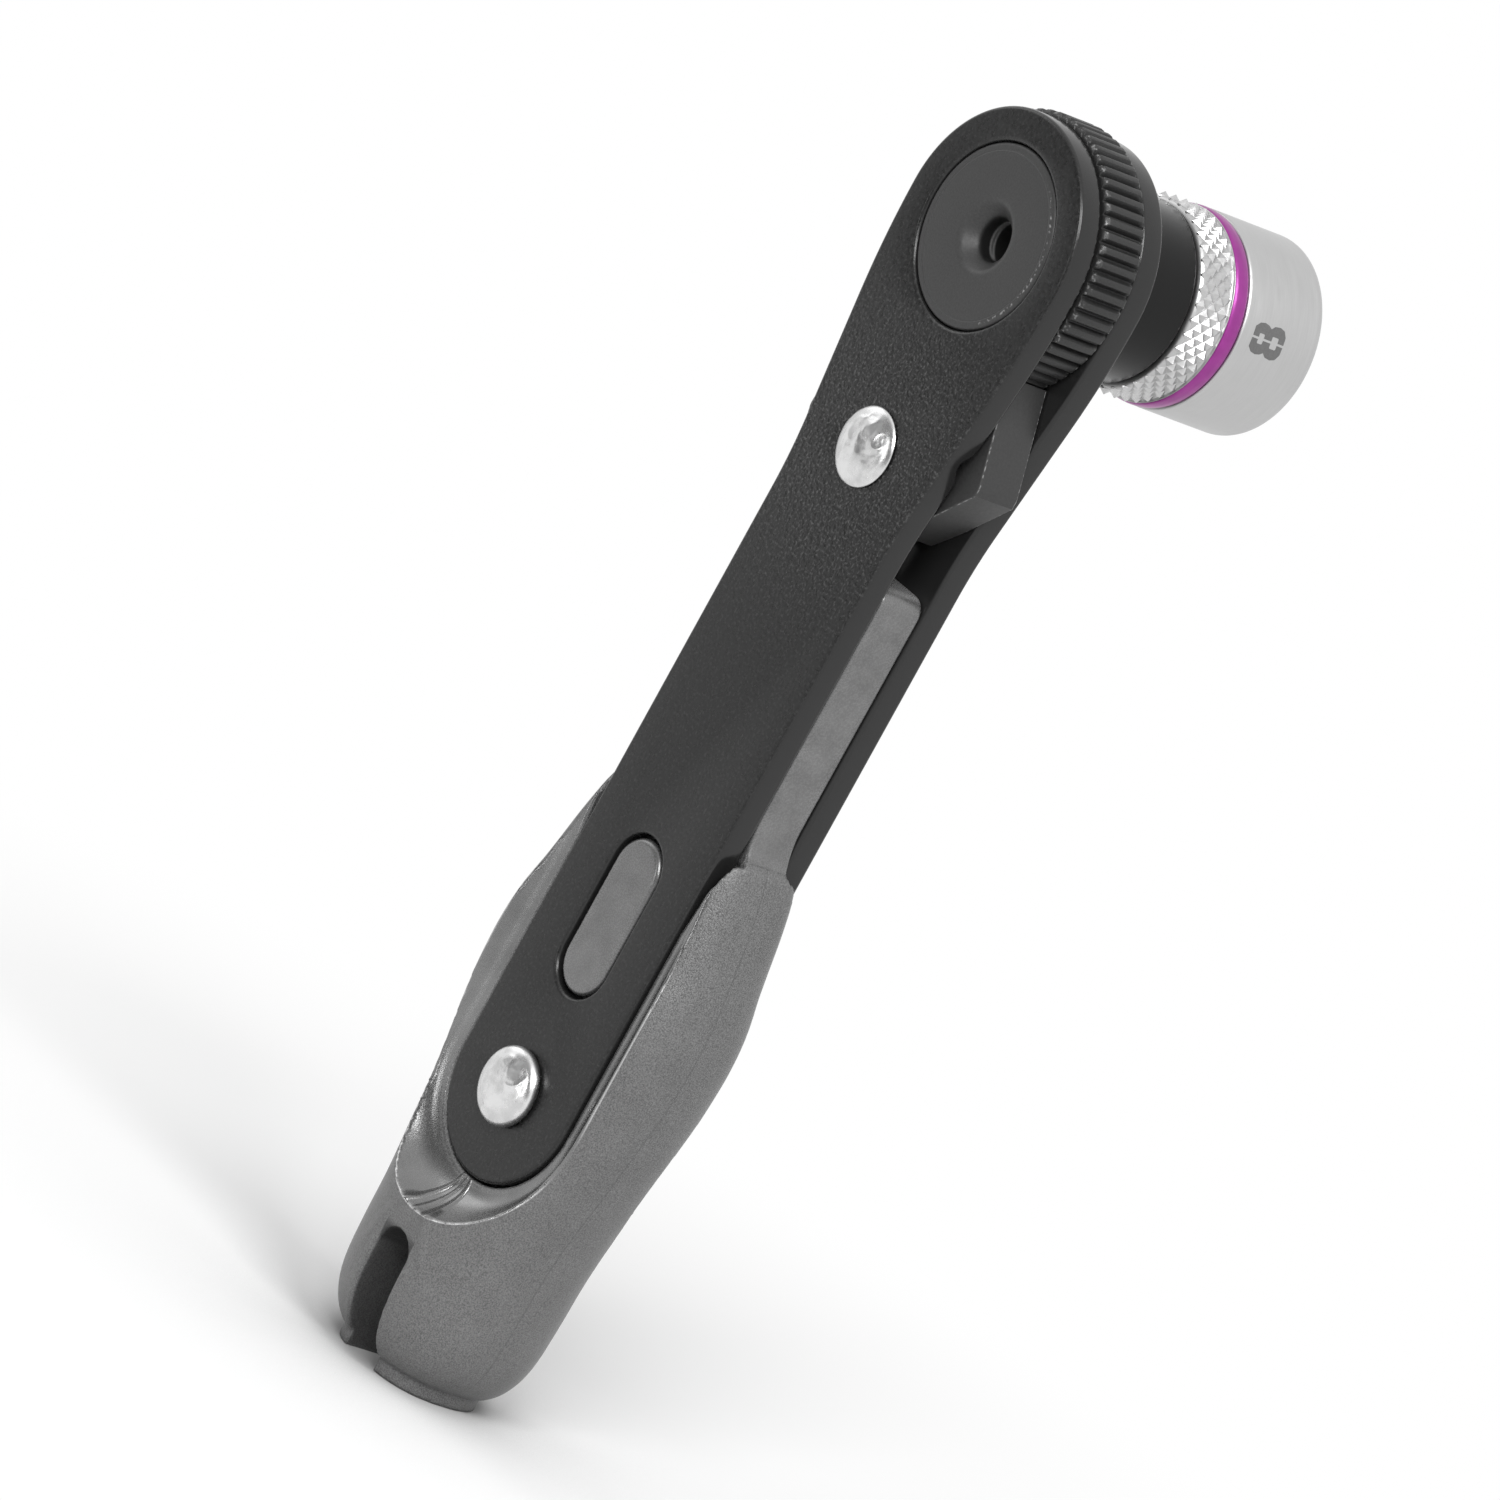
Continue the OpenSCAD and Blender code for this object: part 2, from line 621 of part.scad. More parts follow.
// A pocket for one plate, and the dish that opens it out to the handle's skin
module plate_pocket() {
    pocket_r = plate_w / 2 + pocket_fit;
    floor_y = stack_half - dish_sink;
    far = grip_depth;
    rim_y = floor_y + dish_rise;
    wall_r = dish_r + (far - rim_y) * dish_wall_share;
    top = anchor_drop - shoulder_drop + over;
    flare_r = pocket_r + pocket_flare;
    slab(gap_half, far) {
        translate([0, -anchor_drop]) circle(pocket_r);
        translate([-pocket_r, -anchor_drop]) square([2 * pocket_r, top]);
    }
    slab(gap_half, far) polygon([
        [-pocket_r, -shoulder_drop - flare_len], [pocket_r, -shoulder_drop - flare_len],
        [flare_r, -shoulder_drop], [flare_r, top - anchor_drop],
        [-flare_r, top - anchor_drop], [-flare_r, -shoulder_drop]
    ]);
    translate([0, 0, -anchor_drop]) {
        about_y() polygon([[0, floor_y], [pocket_r, floor_y], [dish_r, rim_y], [wall_r, far], [0, far]]);
        linear_extrude(top) polygon([
            [-wall_r, far], [-dish_r, rim_y], [-pocket_r, floor_y],
            [pocket_r, floor_y], [dish_r, rim_y], [wall_r, far]
        ]);
    }
}

module handle_body() {
    color([0.5, 0.5, 0.5])
    difference() {
        union() {
            difference() {
                union() {
                    handle_skin();
                    end_pad();
                }
                for (side = [0, 1]) mirror([0, side, 0]) plate_pocket();
                translate([0, 0, -slot_drop - slot_r]) {
                    slab(-grip_depth, grip_depth) circle(slot_r);
                    translate([-slot_r, -grip_depth, -handle_drop])
                        cube([slot_w, 2 * grip_depth, handle_drop]);
                }
            }
            tongue();
            slab(boss_sink - stack_half, 0) translate([0, -window_drop])
                obround(window_w - 2 * boss_fit, window_len - 2 * boss_fit);
        }
        slab(-stack_half, stack_half) translate([0, -anchor_drop]) circle(rivet_d / 2 + rivet_fit);
        translate([0, 0, bore_floor_z]) cylinder(h = -tongue_drop - bore_floor_z + over, r = bore_r, $fn = 48);
    }
}

front_plate();
back_plate();
handle_body();
pawl_rivet();
handle_rivet();
drive_gear();
bit_retaining_ring();
direction_lever();
detent_plunger();
detent_spring();
socket_body();
socket_colour_ring();
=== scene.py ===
# %% [markdown]
# # A compact ratcheting screwdriver
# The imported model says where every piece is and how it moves. This lesson dresses it. Each piece
# that shows is made again with rounded edges and its small forms, in the same place, and gets a
# finish built from shader nodes. Sizes are in millimetres until a mesh is made.

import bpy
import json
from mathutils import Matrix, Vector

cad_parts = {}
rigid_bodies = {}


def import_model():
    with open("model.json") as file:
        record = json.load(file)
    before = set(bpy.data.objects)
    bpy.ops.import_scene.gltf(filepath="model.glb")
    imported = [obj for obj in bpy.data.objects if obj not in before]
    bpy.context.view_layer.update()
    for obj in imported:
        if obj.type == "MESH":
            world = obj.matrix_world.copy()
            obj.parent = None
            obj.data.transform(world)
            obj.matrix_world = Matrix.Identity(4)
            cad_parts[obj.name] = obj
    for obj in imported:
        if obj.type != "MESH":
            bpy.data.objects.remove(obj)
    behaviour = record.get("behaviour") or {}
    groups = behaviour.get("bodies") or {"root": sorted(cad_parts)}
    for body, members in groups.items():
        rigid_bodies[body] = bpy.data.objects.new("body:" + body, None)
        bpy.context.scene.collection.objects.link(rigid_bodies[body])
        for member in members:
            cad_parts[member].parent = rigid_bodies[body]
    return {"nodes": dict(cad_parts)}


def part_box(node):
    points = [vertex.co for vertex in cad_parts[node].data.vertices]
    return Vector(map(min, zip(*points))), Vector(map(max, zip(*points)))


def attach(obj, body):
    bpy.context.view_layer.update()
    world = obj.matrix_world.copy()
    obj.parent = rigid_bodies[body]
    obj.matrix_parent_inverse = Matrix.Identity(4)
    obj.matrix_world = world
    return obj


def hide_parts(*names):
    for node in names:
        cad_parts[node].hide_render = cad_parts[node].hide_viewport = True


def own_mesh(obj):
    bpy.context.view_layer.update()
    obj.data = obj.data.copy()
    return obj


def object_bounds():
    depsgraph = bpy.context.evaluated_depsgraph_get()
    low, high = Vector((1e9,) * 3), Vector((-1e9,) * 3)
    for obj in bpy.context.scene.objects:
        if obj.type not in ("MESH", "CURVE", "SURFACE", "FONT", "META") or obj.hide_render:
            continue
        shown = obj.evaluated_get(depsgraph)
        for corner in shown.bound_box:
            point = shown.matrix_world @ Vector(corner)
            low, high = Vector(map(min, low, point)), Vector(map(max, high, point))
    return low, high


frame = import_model()

# %% Bring in the tools and note the model's box
import json
import math

import bmesh
import bpy
from mathutils import Matrix, Vector, noise

MM = 0.001

for thing in list(bpy.data.objects):
    if thing.type in {"CAMERA", "LIGHT"} or thing.name == "Cube":
        bpy.data.objects.remove(thing)
cad_box = [list(corner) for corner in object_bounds()]
print("model box in mm:", [[round(c / MM, 2) for c in corner] for corner in cad_box])

# %% [markdown]
# ## Helpers for meshes
# Nearly every solid here is one of three things: a skin through a row of closed rings, a profile
# turned about the drive axis, or a flat outline with thickness. Writing these once keeps each piece
# short. Doubles are merged and normals recalculated at once, because a turned profile closes on
# itself.

# %% Put data in the scene and read back a finished mesh
def put(name, data):
    thing = bpy.data.objects.new(name, data)
    bpy.context.scene.collection.objects.link(thing)
    return thing


def plain_mesh(thing):
    """Returns the mesh with modifiers worked out, or a curve made a mesh."""
    graph = bpy.context.evaluated_depsgraph_get()
    return bpy.data.meshes.new_from_object(thing.evaluated_get(graph))


# %% Make a mesh object and keep it clean
# Points nearer to each other than this become one
MERGE = MM / 2000


def clean(thing, sharp=32):
    work = bmesh.new()
    work.from_mesh(thing.data)
    bmesh.ops.remove_doubles(work, verts=work.verts, dist=MERGE)
    bmesh.ops.recalc_face_normals(work, faces=work.faces)
    work.to_mesh(thing.data)
    work.free()
    thing.data.shade_smooth()
    thing.data.set_sharp_from_angle(angle=math.radians(sharp))
    return thing


def piece(name, points, faces):
    mesh = bpy.data.meshes.new(name)
    mesh.from_pydata([[c * MM for c in point] for point in points], [], faces)
    return clean(put(name, mesh))


# %% Skin a row of rings
def skin(name, rings, caps=True):
    count = len(rings[0])
    points = [point for ring in rings for point in ring]
    faces = []
    for i in range(len(rings) - 1):
        for k in range(count):
            j = (k + 1) % count
            here = i * count
            faces.append([here + k, here + j, here + count + j, here + count + k])
    if caps:
        faces.append(list(range(count)))
        faces.append(list(range(len(points) - count, len(points))))
    return piece(name, points, faces)


# %% Turn a profile of radius and Y about the drive axis
def turn(name, profile, steps, drop=0.0):
    spokes = [2 * math.pi * k / steps for k in range(steps)]
    rings = [[(r * math.cos(a), y, r * math.sin(a) - drop) for a in spokes] for r, y in profile]
    return skin(name, rings, caps=False)


def soften(profile, radius, steps=4):
    """Rounds the inner corners of an open profile with short curves, which never meet."""
    under_half = 1 / 2.05
    line = [Vector(p) for p in profile]
    out = [line[0]]
    for before, corner, after in zip(line, line[1:], line[2:]):
        cut_in = min(radius, (corner - before).length * under_half)
        cut_out = min(radius, (after - corner).length * under_half)
        start = corner + (before - corner).normalized() * cut_in
        end = corner + (after - corner).normalized() * cut_out
        for k in range(steps + 1):
            t = k / steps
            out.append(start * (1 - t) ** 2 + corner * 2 * t * (1 - t) + end * t * t)
    return [tuple(p) for p in out + [line[-1]]]


print("a softened corner has", len(soften([(0, 0), (1, 0), (1, 1)], 0.2)) - 2, "points")


# %% Fill flat loops, give them thickness and round every edge
def arc(x, z, radius, first, last, steps):
    angles = [math.radians(first + (last - first) * k / steps) for k in range(steps + 1)]
    return [(x + radius * math.cos(a), z + radius * math.sin(a)) for a in angles]


def curve_mesh(name, curve):
    holder = put(name, curve)
    mesh = plain_mesh(holder)
    bpy.data.objects.remove(holder)
    return mesh


def sheet_metal(name, loops, y0, y1, rim_highlight, rounds):
    curve = bpy.data.curves.new(name, "CURVE")
    curve.dimensions = "2D"
    curve.fill_mode = "BOTH"
    curve.extrude = ((y1 - y0) / 2 - rim_highlight) * MM
    curve.bevel_depth = rim_highlight * MM
    curve.bevel_resolution = rounds
    curve.offset = -rim_highlight * MM
    for loop in loops:
        line = curve.splines.new("POLY")
        line.points.add(len(loop) - 1)
        for point, (x, z) in zip(line.points, loop):
            point.co = (x * MM, z * MM, 0, 1)
        line.use_cyclic_u = True
    mesh = curve_mesh(name, curve)
    upright = Matrix.Rotation(math.radians(90), 4, "X")
    mesh.transform(Matrix.Translation((0, (y0 + y1) / 2 * MM, 0)) @ upright)
    return clean(put(name, mesh))


quarter = [(round(x, 2), round(z, 2)) for x, z in arc(0, 0, 1, 0, 90, 2)]
print("a quarter circle in two steps:", quarter)


# %% Bake a modifier, and join or cut with another solid
def bake(thing, kind, **settings):
    step = thing.modifiers.new(kind, kind)
    for key, value in settings.items():
        setattr(step, key, value)
    thing.data = plain_mesh(thing)
    thing.modifiers.clear()
    return thing


def combine(thing, operation, *tools):
    for tool in tools:
        bake(thing, "BOOLEAN", operation=operation, object=tool, solver="EXACT")
        bpy.data.objects.remove(tool)
    return thing


def hexagon(across, y0, y1):
    radius = across / 2 / math.cos(math.radians(30))
    turns = [math.radians(60 * k) for k in range(6)]
    ring = [(radius * math.sin(a), radius * math.cos(a)) for a in turns]
    return skin("hexagon", [[(x, y, z) for x, z in ring] for y in (y0, y1)])


# %% [markdown]
# ## Node trees written as sums
# A shader or a geometry tree is mostly arithmetic. A small class wraps a socket, so that adding or
# multiplying two of them adds a Math node. One method makes any other node: it sets the node's
# settings first, because some of them change which sockets it has, and then fills its sockets.

# %% Wrap a socket
class Number:
    def __init__(self, tree, socket):
        self.tree = tree
        self.socket = socket

    def math(self, operation, *others):
        values = dict(enumerate((self, *others)))
        return self.tree.node("ShaderNodeMath", {"operation": operation}, values)

    def __add__(self, other):
        return self.math("ADD", other)

    def __sub__(self, other):
        return self.math("SUBTRACT", other)

    def __mul__(self, other):
        return self.math("MULTIPLY", other)

    def __truediv__(self, other):
        return self.math("DIVIDE", other)

    def __rsub__(self, other):
        return self * -1 + other

    __radd__ = __add__
    __rmul__ = __mul__

    def step(self, low, high):
        """Runs smoothly from 0 at low to 1 at high."""
        settings = {"interpolation_type": "SMOOTHSTEP"}
        return self.tree.node("ShaderNodeMapRange", settings, {0: self, 1: low, 2: high})

    def line(self, place, width):
        """Is 1 at the place and fades to 0 at that width to either side."""
        return (self - place).math("ABSOLUTE").step(width, 0)


# %% Wrap a tree
class Tree:
    def __init__(self, tree):
        self.tree = tree

    def node(self, kind, settings=None, values=None, output=0):
        made = self.tree.nodes.new(kind)
        for key, value in (settings or {}).items():
            setattr(made, key, value)
        for key, value in (values or {}).items():
            self.feed(made.inputs[key], value)
        return Number(self, made.outputs[output])

    def feed(self, socket, value):
        if isinstance(value, Number):
            self.tree.links.new(value.socket, socket)
        else:
            socket.default_value = value


# %% [markdown]
# ## A finish
# A finish is a material with one Principled shader. Its patterns read Object coordinates, counted
# in millimetres, so a grain of 0.1 is a tenth of a millimetre on every piece. Relief is given in
# millimetres too, through a Bump node.

# %% Wrap a material
def grey(value):
    return (value, value, value, 1)


class Finish(Tree):
    def __init__(self, name, **sockets):
        self.material = bpy.data.materials.new(name)
        self.material.use_nodes = True
        super().__init__(self.material.node_tree)
        self.shader = self.tree.nodes["Principled BSDF"]
        metres = self.node("ShaderNodeTexCoord", output="Object")
        scaled = {0: metres, "Scale": 1 / MM}
        self.place = self.node("ShaderNodeVectorMath", {"operation": "SCALE"}, scaled)
        self.x, self.y, self.z = [
            self.node("ShaderNodeSeparateXYZ", None, {0: self.place}, axis) for axis in range(3)]
        for key, value in sockets.items():
            self.set(key.replace("_", " "), value)

    def set(self, key, value):
        self.feed(self.shader.inputs[key], value)

    def grain(self, size, detail=2.0, stretch=None):
        place = self.place
        if stretch:
            factors = {0: place, 1: stretch}
            place = self.node("ShaderNodeVectorMath", {"operation": "MULTIPLY"}, factors)
        values = {"Vector": place, "Scale": 1 / size, "Detail": detail}
        return self.node("ShaderNodeTexNoise", None, values)

    def mix(self, share, first, second):
        values = {0: share, 6: first, 7: second}
        return self.node("ShaderNodeMix", {"data_type": "RGBA"}, values, 2)

    def relief(self, height):
        values = {"Height": height, "Distance": MM, "Strength": 1.0}
        self.set("Normal", self.node("ShaderNodeBump", None, values))

    def from_axis(self, drop=0.0):
        """Distance from a line along Y."""
        down = self.z + drop
        return (self.x * self.x + down * down).math("SQRT")


def fit(thing, body, slot, finish, *nodes):
    thing.data.materials.clear()
    thing.data.materials.append(finish.material)
    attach(thing, body)
    if nodes:
        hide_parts(*nodes)
    print(thing.name, "rides on", body, "with", len(thing.data.polygons), "faces")


# %% [markdown]
# ## Camera
# The view is the photograph's: a long lens, low and from the front right, rolled so that the tool
# leans. Its place and its right and backward directions were found by matching the round edges of
# the head, the rivets and the socket. The third direction stands square on these two.

# %% Set the camera
CAMERA_PLACE = (0.72318, -0.65068, 0.15600)
CAMERA_RIGHT = (0.5159, 0.7130, 0.4748)
CAMERA_BACK = (0.7294, -0.6563, 0.1930)
LENS = 388.34
SENSOR = 36

right = Vector(CAMERA_RIGHT).normalized()
back = Vector(CAMERA_BACK)
back = (back - right * back.dot(right)).normalized()
up = back.cross(right)
camera = put("camera", bpy.data.cameras.new("camera"))
camera.data.lens = LENS
camera.data.sensor_width = SENSOR
camera.data.clip_start = 0.05
camera.data.clip_end = 20
turned = Matrix((right, up, back)).transposed().to_4x4()
camera.matrix_world = Matrix.Translation(CAMERA_PLACE) @ turned
bpy.context.scene.camera = camera
print("camera at", [round(c, 3) for c in camera.location])

# %% [markdown]
# ## Side plates
# Two plates are stamped from sheet, tumbled so that their edges round over, and painted with a fine
# wrinkle texture. A filled 2D curve with a bevel gives that rounded edge all the way round, in the
# holes too. The outline is worked out from the same arcs as the model: a round head, long flank
# arcs, a straight taper, hollow waist arcs and a round lower end.

# %% Sizes of the plates and what lies between them
HEAD_R = 8.23
FLANK_R = 52.0
TAPER = 8.4
PLATE_HALF = 6.1
WAIST_R = 33.0
GAP_HALF = 1.75
STACK_HALF = 3.6
RIM_ROLL = 0.3

# How far the rivets and the window lie below the drive axis
PIVOT_DROP = 14.92
ANCHOR_DROP = 60.55
WINDOW_DROP = 48.2

WINDOW_W = 4.9
WINDOW_LEN = 11.2
RIVET_HOLE_R = 1.62
JOURNAL_R = 5.95
RUNNING_FIT = 0.05
print("the plates are", round(STACK_HALF - GAP_HALF, 2), "mm thick")


# %% Draw the plates' outline and holes
def obround(width, length, drop):
    reach = (length - width) / 2
    top = arc(0, reach - drop, width / 2, 0, 180, 24)
    return top + arc(0, -reach - drop, width / 2, 180, 360, 24)


def plate_outline():
    lean = math.radians(TAPER)
    flank = (HEAD_R - FLANK_R * (1 - math.cos(lean)), -FLANK_R * math.sin(lean))
    waist_x = PLATE_HALF + WAIST_R * (1 - math.cos(lean))
    waist_z = flank[1] - (flank[0] - waist_x) / math.tan(lean)
    waist_end = waist_z - WAIST_R * math.sin(lean)
    side = arc(HEAD_R - FLANK_R, 0, FLANK_R, 0, -TAPER, 24)
    side += arc(PLATE_HALF + WAIST_R, waist_end, WAIST_R, 180 - TAPER, 180, 24)
    head = arc(0, 0, HEAD_R, 180, 0, 96)
    foot = arc(0, -ANCHOR_DROP, PLATE_HALF, 0, -180, 72)
    return head[:-1] + side + foot + [(-x, z) for x, z in reversed(side)][:-1]


def plate_loops(window):
    loops = [plate_outline()]
    loops.append(arc(0, 0, JOURNAL_R + RUNNING_FIT, 0, 360, 96)[:-1])
    loops.append(arc(0, -PIVOT_DROP, RIVET_HOLE_R, 0, 360, 48)[:-1])
    loops.append(arc(0, -ANCHOR_DROP, RIVET_HOLE_R, 0, 360, 48)[:-1])
    if window:
        loops.append(obround(WINDOW_W, WINDOW_LEN, WINDOW_DROP))
    return loops


print("the plate's outline has", len(plate_outline()), "points")

# %% Make both plates
front_plate = sheet_metal(
    "side_plate_front", plate_loops(True), -STACK_HALF, -GAP_HALF, RIM_ROLL, 6)
back_plate = sheet_metal(
    "side_plate_back", plate_loops(False), GAP_HALF, STACK_HALF, RIM_ROLL, 6)
for plate in (front_plate, back_plate):
    xs = [v.co.x / MM for v in plate.data.vertices]
    print(plate.name, "is", round(max(xs) - min(xs), 3), "mm wide")

# %% Cut the relief beside each ear from the front plate's inner edge
RELIEF_TOP = -9.95
RELIEF_LEN = 5.2
RELIEF_DEPTH = 0.85
RELIEF_INNER = -1.2
RELIEF_X = (6.13, 8.5)
RELIEF_SHARES = [(0, 0), (0.29, 0.24), (0.4, 0.86), (0.5, 1), (0.58, 0.71), (0.71, 0.29), (1, 0)]

relief_edge = [
    (RELIEF_TOP - RELIEF_LEN * down, -GAP_HALF - RELIEF_DEPTH * deep) for down, deep in RELIEF_SHARES]
relief_edge = soften(relief_edge, 0.4, 4)
relief_edge += [(RELIEF_TOP - RELIEF_LEN, RELIEF_INNER), (RELIEF_TOP, RELIEF_INNER)]
for side in (-1, 1):
    cut = skin("relief", [[(side * x, y, z) for z, y in relief_edge] for x in RELIEF_X])
    combine(front_plate, "DIFFERENCE", cut)
clean(front_plate)
print("front plate has", len(front_plate.data.polygons), "faces with both reliefs cut")

# %% [markdown]
# ## Plate paint
# Black stoving paint shows a wrinkle of a fifth to a third of a millimetre on the faces. On the
# cut edges it runs smooth and glossy, and its black is painted a little lighter there: painted
# light on faces that turn to the lamps. The wrinkle is strongest round the lever's rivet, where
# the photograph catches it. Pale specks on the faces are painted highlights on the wrinkle's
# crests, most of them round that rivet.

# %% Paint the plates
paint = Finish("plate_paint", Specular_IOR_Level=0.38)
flat = paint.y.math("ABSOLUTE").step(STACK_HALF - 0.25, STACK_HALF - 0.02)
near_rivet = paint.from_axis(PIVOT_DROP).step(15, 3)
wrinkle = paint.grain(0.32)
speck = paint.grain(0.19)
# Painted light: the edge faces take the lightest black, as if the lamps fell on them.
black_lighter_on_edges = paint.mix(wrinkle + (1 - flat) * 1.1, grey(0.006), grey(0.016))
# Painted highlights: pale specks on the wrinkle's crests, strongest round the lever's rivet.
speck_highlights = speck.step(0.5, 0.72) * (0.25 + near_rivet * 0.75) * flat
paint.set("Base Color", paint.mix(speck_highlights, black_lighter_on_edges, grey(0.08)))
paint.set("Roughness", 0.16 + flat * (0.14 + (wrinkle - 0.5) * 0.25))
coarse = (wrinkle * 0.05 + speck * 0.02) * flat * (0.2 + near_rivet * 0.8)
paint.relief(coarse + wrinkle * 0.001)
fit(front_plate, "frame", "plate_paint", paint, "front_plate")
fit(back_plate, "frame", "plate_paint", paint, "back_plate")

# %% [markdown]
# ## Cast handle
# The handle is a zinc casting: a rounded, waisted grip with a tongue that runs up between the
# plates. Its skin passes through rounded sections, whose widths and depths are shares of the whole.
# Smooth curves run between them. The pockets, the dish round the plates' end and the cord slot are
# then cut, and a fine remesh rounds every edge as casting does. The tongue and the boss that fills
# the window are flatter and crisper, so they are pieces of their own that start inside the grip.

# %% Sizes of the grip and its stations
GRIP_W = 19.1
GRIP_DEPTH = 12.5
SHOULDER_DROP = 40.3
BODY_LEN = 38.7
HANDLE_END = -80.1
PAD_H = 1.1
PAD_SHARE = 0.93
SQUARENESS = 2.6

# Share of the length, of the width and of the depth, and how much squarer than the rest
STATIONS = [
    (0.000, 0.695, 0.500, 1.9), (0.012, 0.742, 0.560, 1.9), (0.031, 0.772, 0.610, 1.7),
    (0.060, 0.812, 0.680, 1.4), (0.125, 0.885, 0.785, 1.12), (0.190, 0.940, 0.875, 1),
    (0.260, 0.988, 0.955, 1), (0.330, 1.000, 0.995, 1), (0.415, 0.975, 1.000, 1),
    (0.490, 0.925, 0.998, 1), (0.550, 0.880, 0.992, 1), (0.620, 0.825, 0.984, 1),
    (0.690, 0.768, 0.976, 1), (0.760, 0.733, 0.970, 1), (0.830, 0.722, 0.965, 1),
    (0.895, 0.708, 0.950, 1), (0.935, 0.685, 0.915, 1), (0.965, 0.640, 0.860, 1),
    (0.985, 0.590, 0.795, 1), (1.000, 0.530, 0.720, 1),
]
print("the grip has", len(STATIONS), "stations over", BODY_LEN, "mm")


# %% Run smooth sections between the stations
def between(stations, steps=8):
    """Runs a smooth curve through the stations."""
    line = [Vector(v) for v in [stations[0]] + stations + [stations[-1]]]
    for a, b, c, d in zip(line, line[1:], line[2:], line[3:]):
        for k in range(steps):
            t = k / steps
            yield (b * 2 + (c - a) * t + (a * 2 - b * 5 + c * 4 - d) * t * t
                   + (b * 3 - a - c * 3 + d) * t * t * t) / 2
    yield line[-1]


def section(width, depth, square, z, steps=144):
    power = 2 / SQUARENESS / square
    ring = []
    for k in range(steps):
        c = math.cos(2 * math.pi * k / steps)
        s = math.sin(2 * math.pi * k / steps)
        x = math.copysign(abs(c) ** power, c) * width / 2
        y = math.copysign(abs(s) ** power, s) * depth / 2
        ring.append((x, y, z))
    return ring


print("a section has", len(section(GRIP_W, GRIP_DEPTH, 1, 0)), "points")

# %% Skin the grip and its end pad
rings = []
for down, wide, deep, square in between(STATIONS):
    z = -SHOULDER_DROP - down * BODY_LEN
    rings.append(section(min(wide, 1) * GRIP_W, min(deep, 1) * GRIP_DEPTH, square, z))
handle = skin("handle_casting", rings)
end_wide, end_deep = STATIONS[-1][1:3]
pad_w = end_wide * PAD_SHARE * GRIP_W
pad_depth = end_deep * PAD_SHARE * GRIP_DEPTH
pad_levels = (HANDLE_END, PAD_H * 1.5 + HANDLE_END)
combine(handle, "UNION", skin("pad", [section(pad_w, pad_depth, 1, z) for z in pad_levels]))
print("grip has", len(handle.data.polygons), "faces")

# %% Sizes of the cuts
POCKET_GAP = 0.15
POCKET_TOP = -38.0
FLARE = [(6.25, -46.1), (6.85, -40.3), (6.85, POCKET_TOP)]

# The dish rises along a curve from the pocket's wall to its rim
DISH_INNER = 6.25
DISH_OUTER = 9.3
DISH_FLOOR = 3.35
DISH_RISE = 2.75
DISH_POWER = 2.3
DISH_STEPS = 12
DISH_BEYOND = 11.4

SLOT_HALF = 1.65
SLOT_TOP = -71.4
CUT_REACH = 12.0
CUT_BELOW = -90
print("the slot is", 2 * SLOT_HALF, "mm wide")


# %% Cut the pockets, the dishes and the slot
def dish_y(r):
    return DISH_FLOOR + DISH_RISE * ((r - DISH_INNER) / (DISH_OUTER - DISH_INNER)) ** DISH_POWER


def bar(loop, y0, y1):
    return skin("bar", [[(x, y, z) for x, z in loop] for y in (y0, y1)])


def plate_end(radius):
    foot = arc(0, -ANCHOR_DROP, radius, 0, -180, 72)
    return [(radius, POCKET_TOP)] + foot + [(-radius, POCKET_TOP)]


flare = FLARE + [(-x, z) for x, z in reversed(FLARE)]
radii = [DISH_INNER + (DISH_OUTER - DISH_INNER) * k / DISH_STEPS for k in range(DISH_STEPS + 1)]
levels = [(r, dish_y(r)) for r in radii] + [(DISH_BEYOND, CUT_REACH)]
for side in (-1, 1):
    pocket = bar(plate_end(PLATE_HALF + POCKET_GAP), side * GAP_HALF, side * CUT_REACH)
    dish = skin("dish", [[(x, side * y, z) for x, z in plate_end(r)] for r, y in levels])
    shoulder = bar(flare, side * GAP_HALF, side * CUT_REACH)
    combine(handle, "DIFFERENCE", shoulder, pocket, dish)
slot_end = arc(0, SLOT_TOP - SLOT_HALF, SLOT_HALF, 0, 180, 32)
slot = [(-SLOT_HALF, CUT_BELOW), (SLOT_HALF, CUT_BELOW)] + slot_end
combine(handle, "DIFFERENCE", bar(slot, -CUT_REACH, CUT_REACH))
print("cut handle has", len(handle.data.polygons), "faces")

# %% Make the tongue and the boss with rolled edges
TONGUE_INSET = 0.15
TONGUE_TOP = -21.5
TONGUE_FOOT = -52.0
TONGUE_CORNER = 1.2
HOLLOW_R = 6.0
HOLLOW_SPREAD = 0.68
BOSS_GAP = 0.5
BOSS_SINK = 0.1
BOSS_FOOT = -1.5
BOSS_ROLL = 0.4

half = PLATE_HALF - TONGUE_INSET
turn_out = math.degrees(math.acos(1 - HOLLOW_SPREAD / HOLLOW_R))
hollow_top = -SHOULDER_DROP + HOLLOW_R * math.sin(math.radians(turn_out))
side_line = arc(half - TONGUE_CORNER, TONGUE_TOP - TONGUE_CORNER, TONGUE_CORNER, 90, 0, 12)
side_line += arc(half + HOLLOW_R, hollow_top, HOLLOW_R, 180, 180 + turn_out, 8)
side_line += [(half, TONGUE_FOOT)]
tongue_line = side_line + [(-x, z) for x, z in reversed(side_line)]
tongue = sheet_metal("handle_tongue", [tongue_line], -GAP_HALF, GAP_HALF, RIM_ROLL, 5)
boss_line = obround(WINDOW_W - BOSS_GAP, WINDOW_LEN - BOSS_GAP, WINDOW_DROP)
boss = sheet_metal("handle_boss", [boss_line], BOSS_SINK - STACK_HALF, BOSS_FOOT, BOSS_ROLL, 6)
print("the boss has", len(boss.data.polygons), "faces")

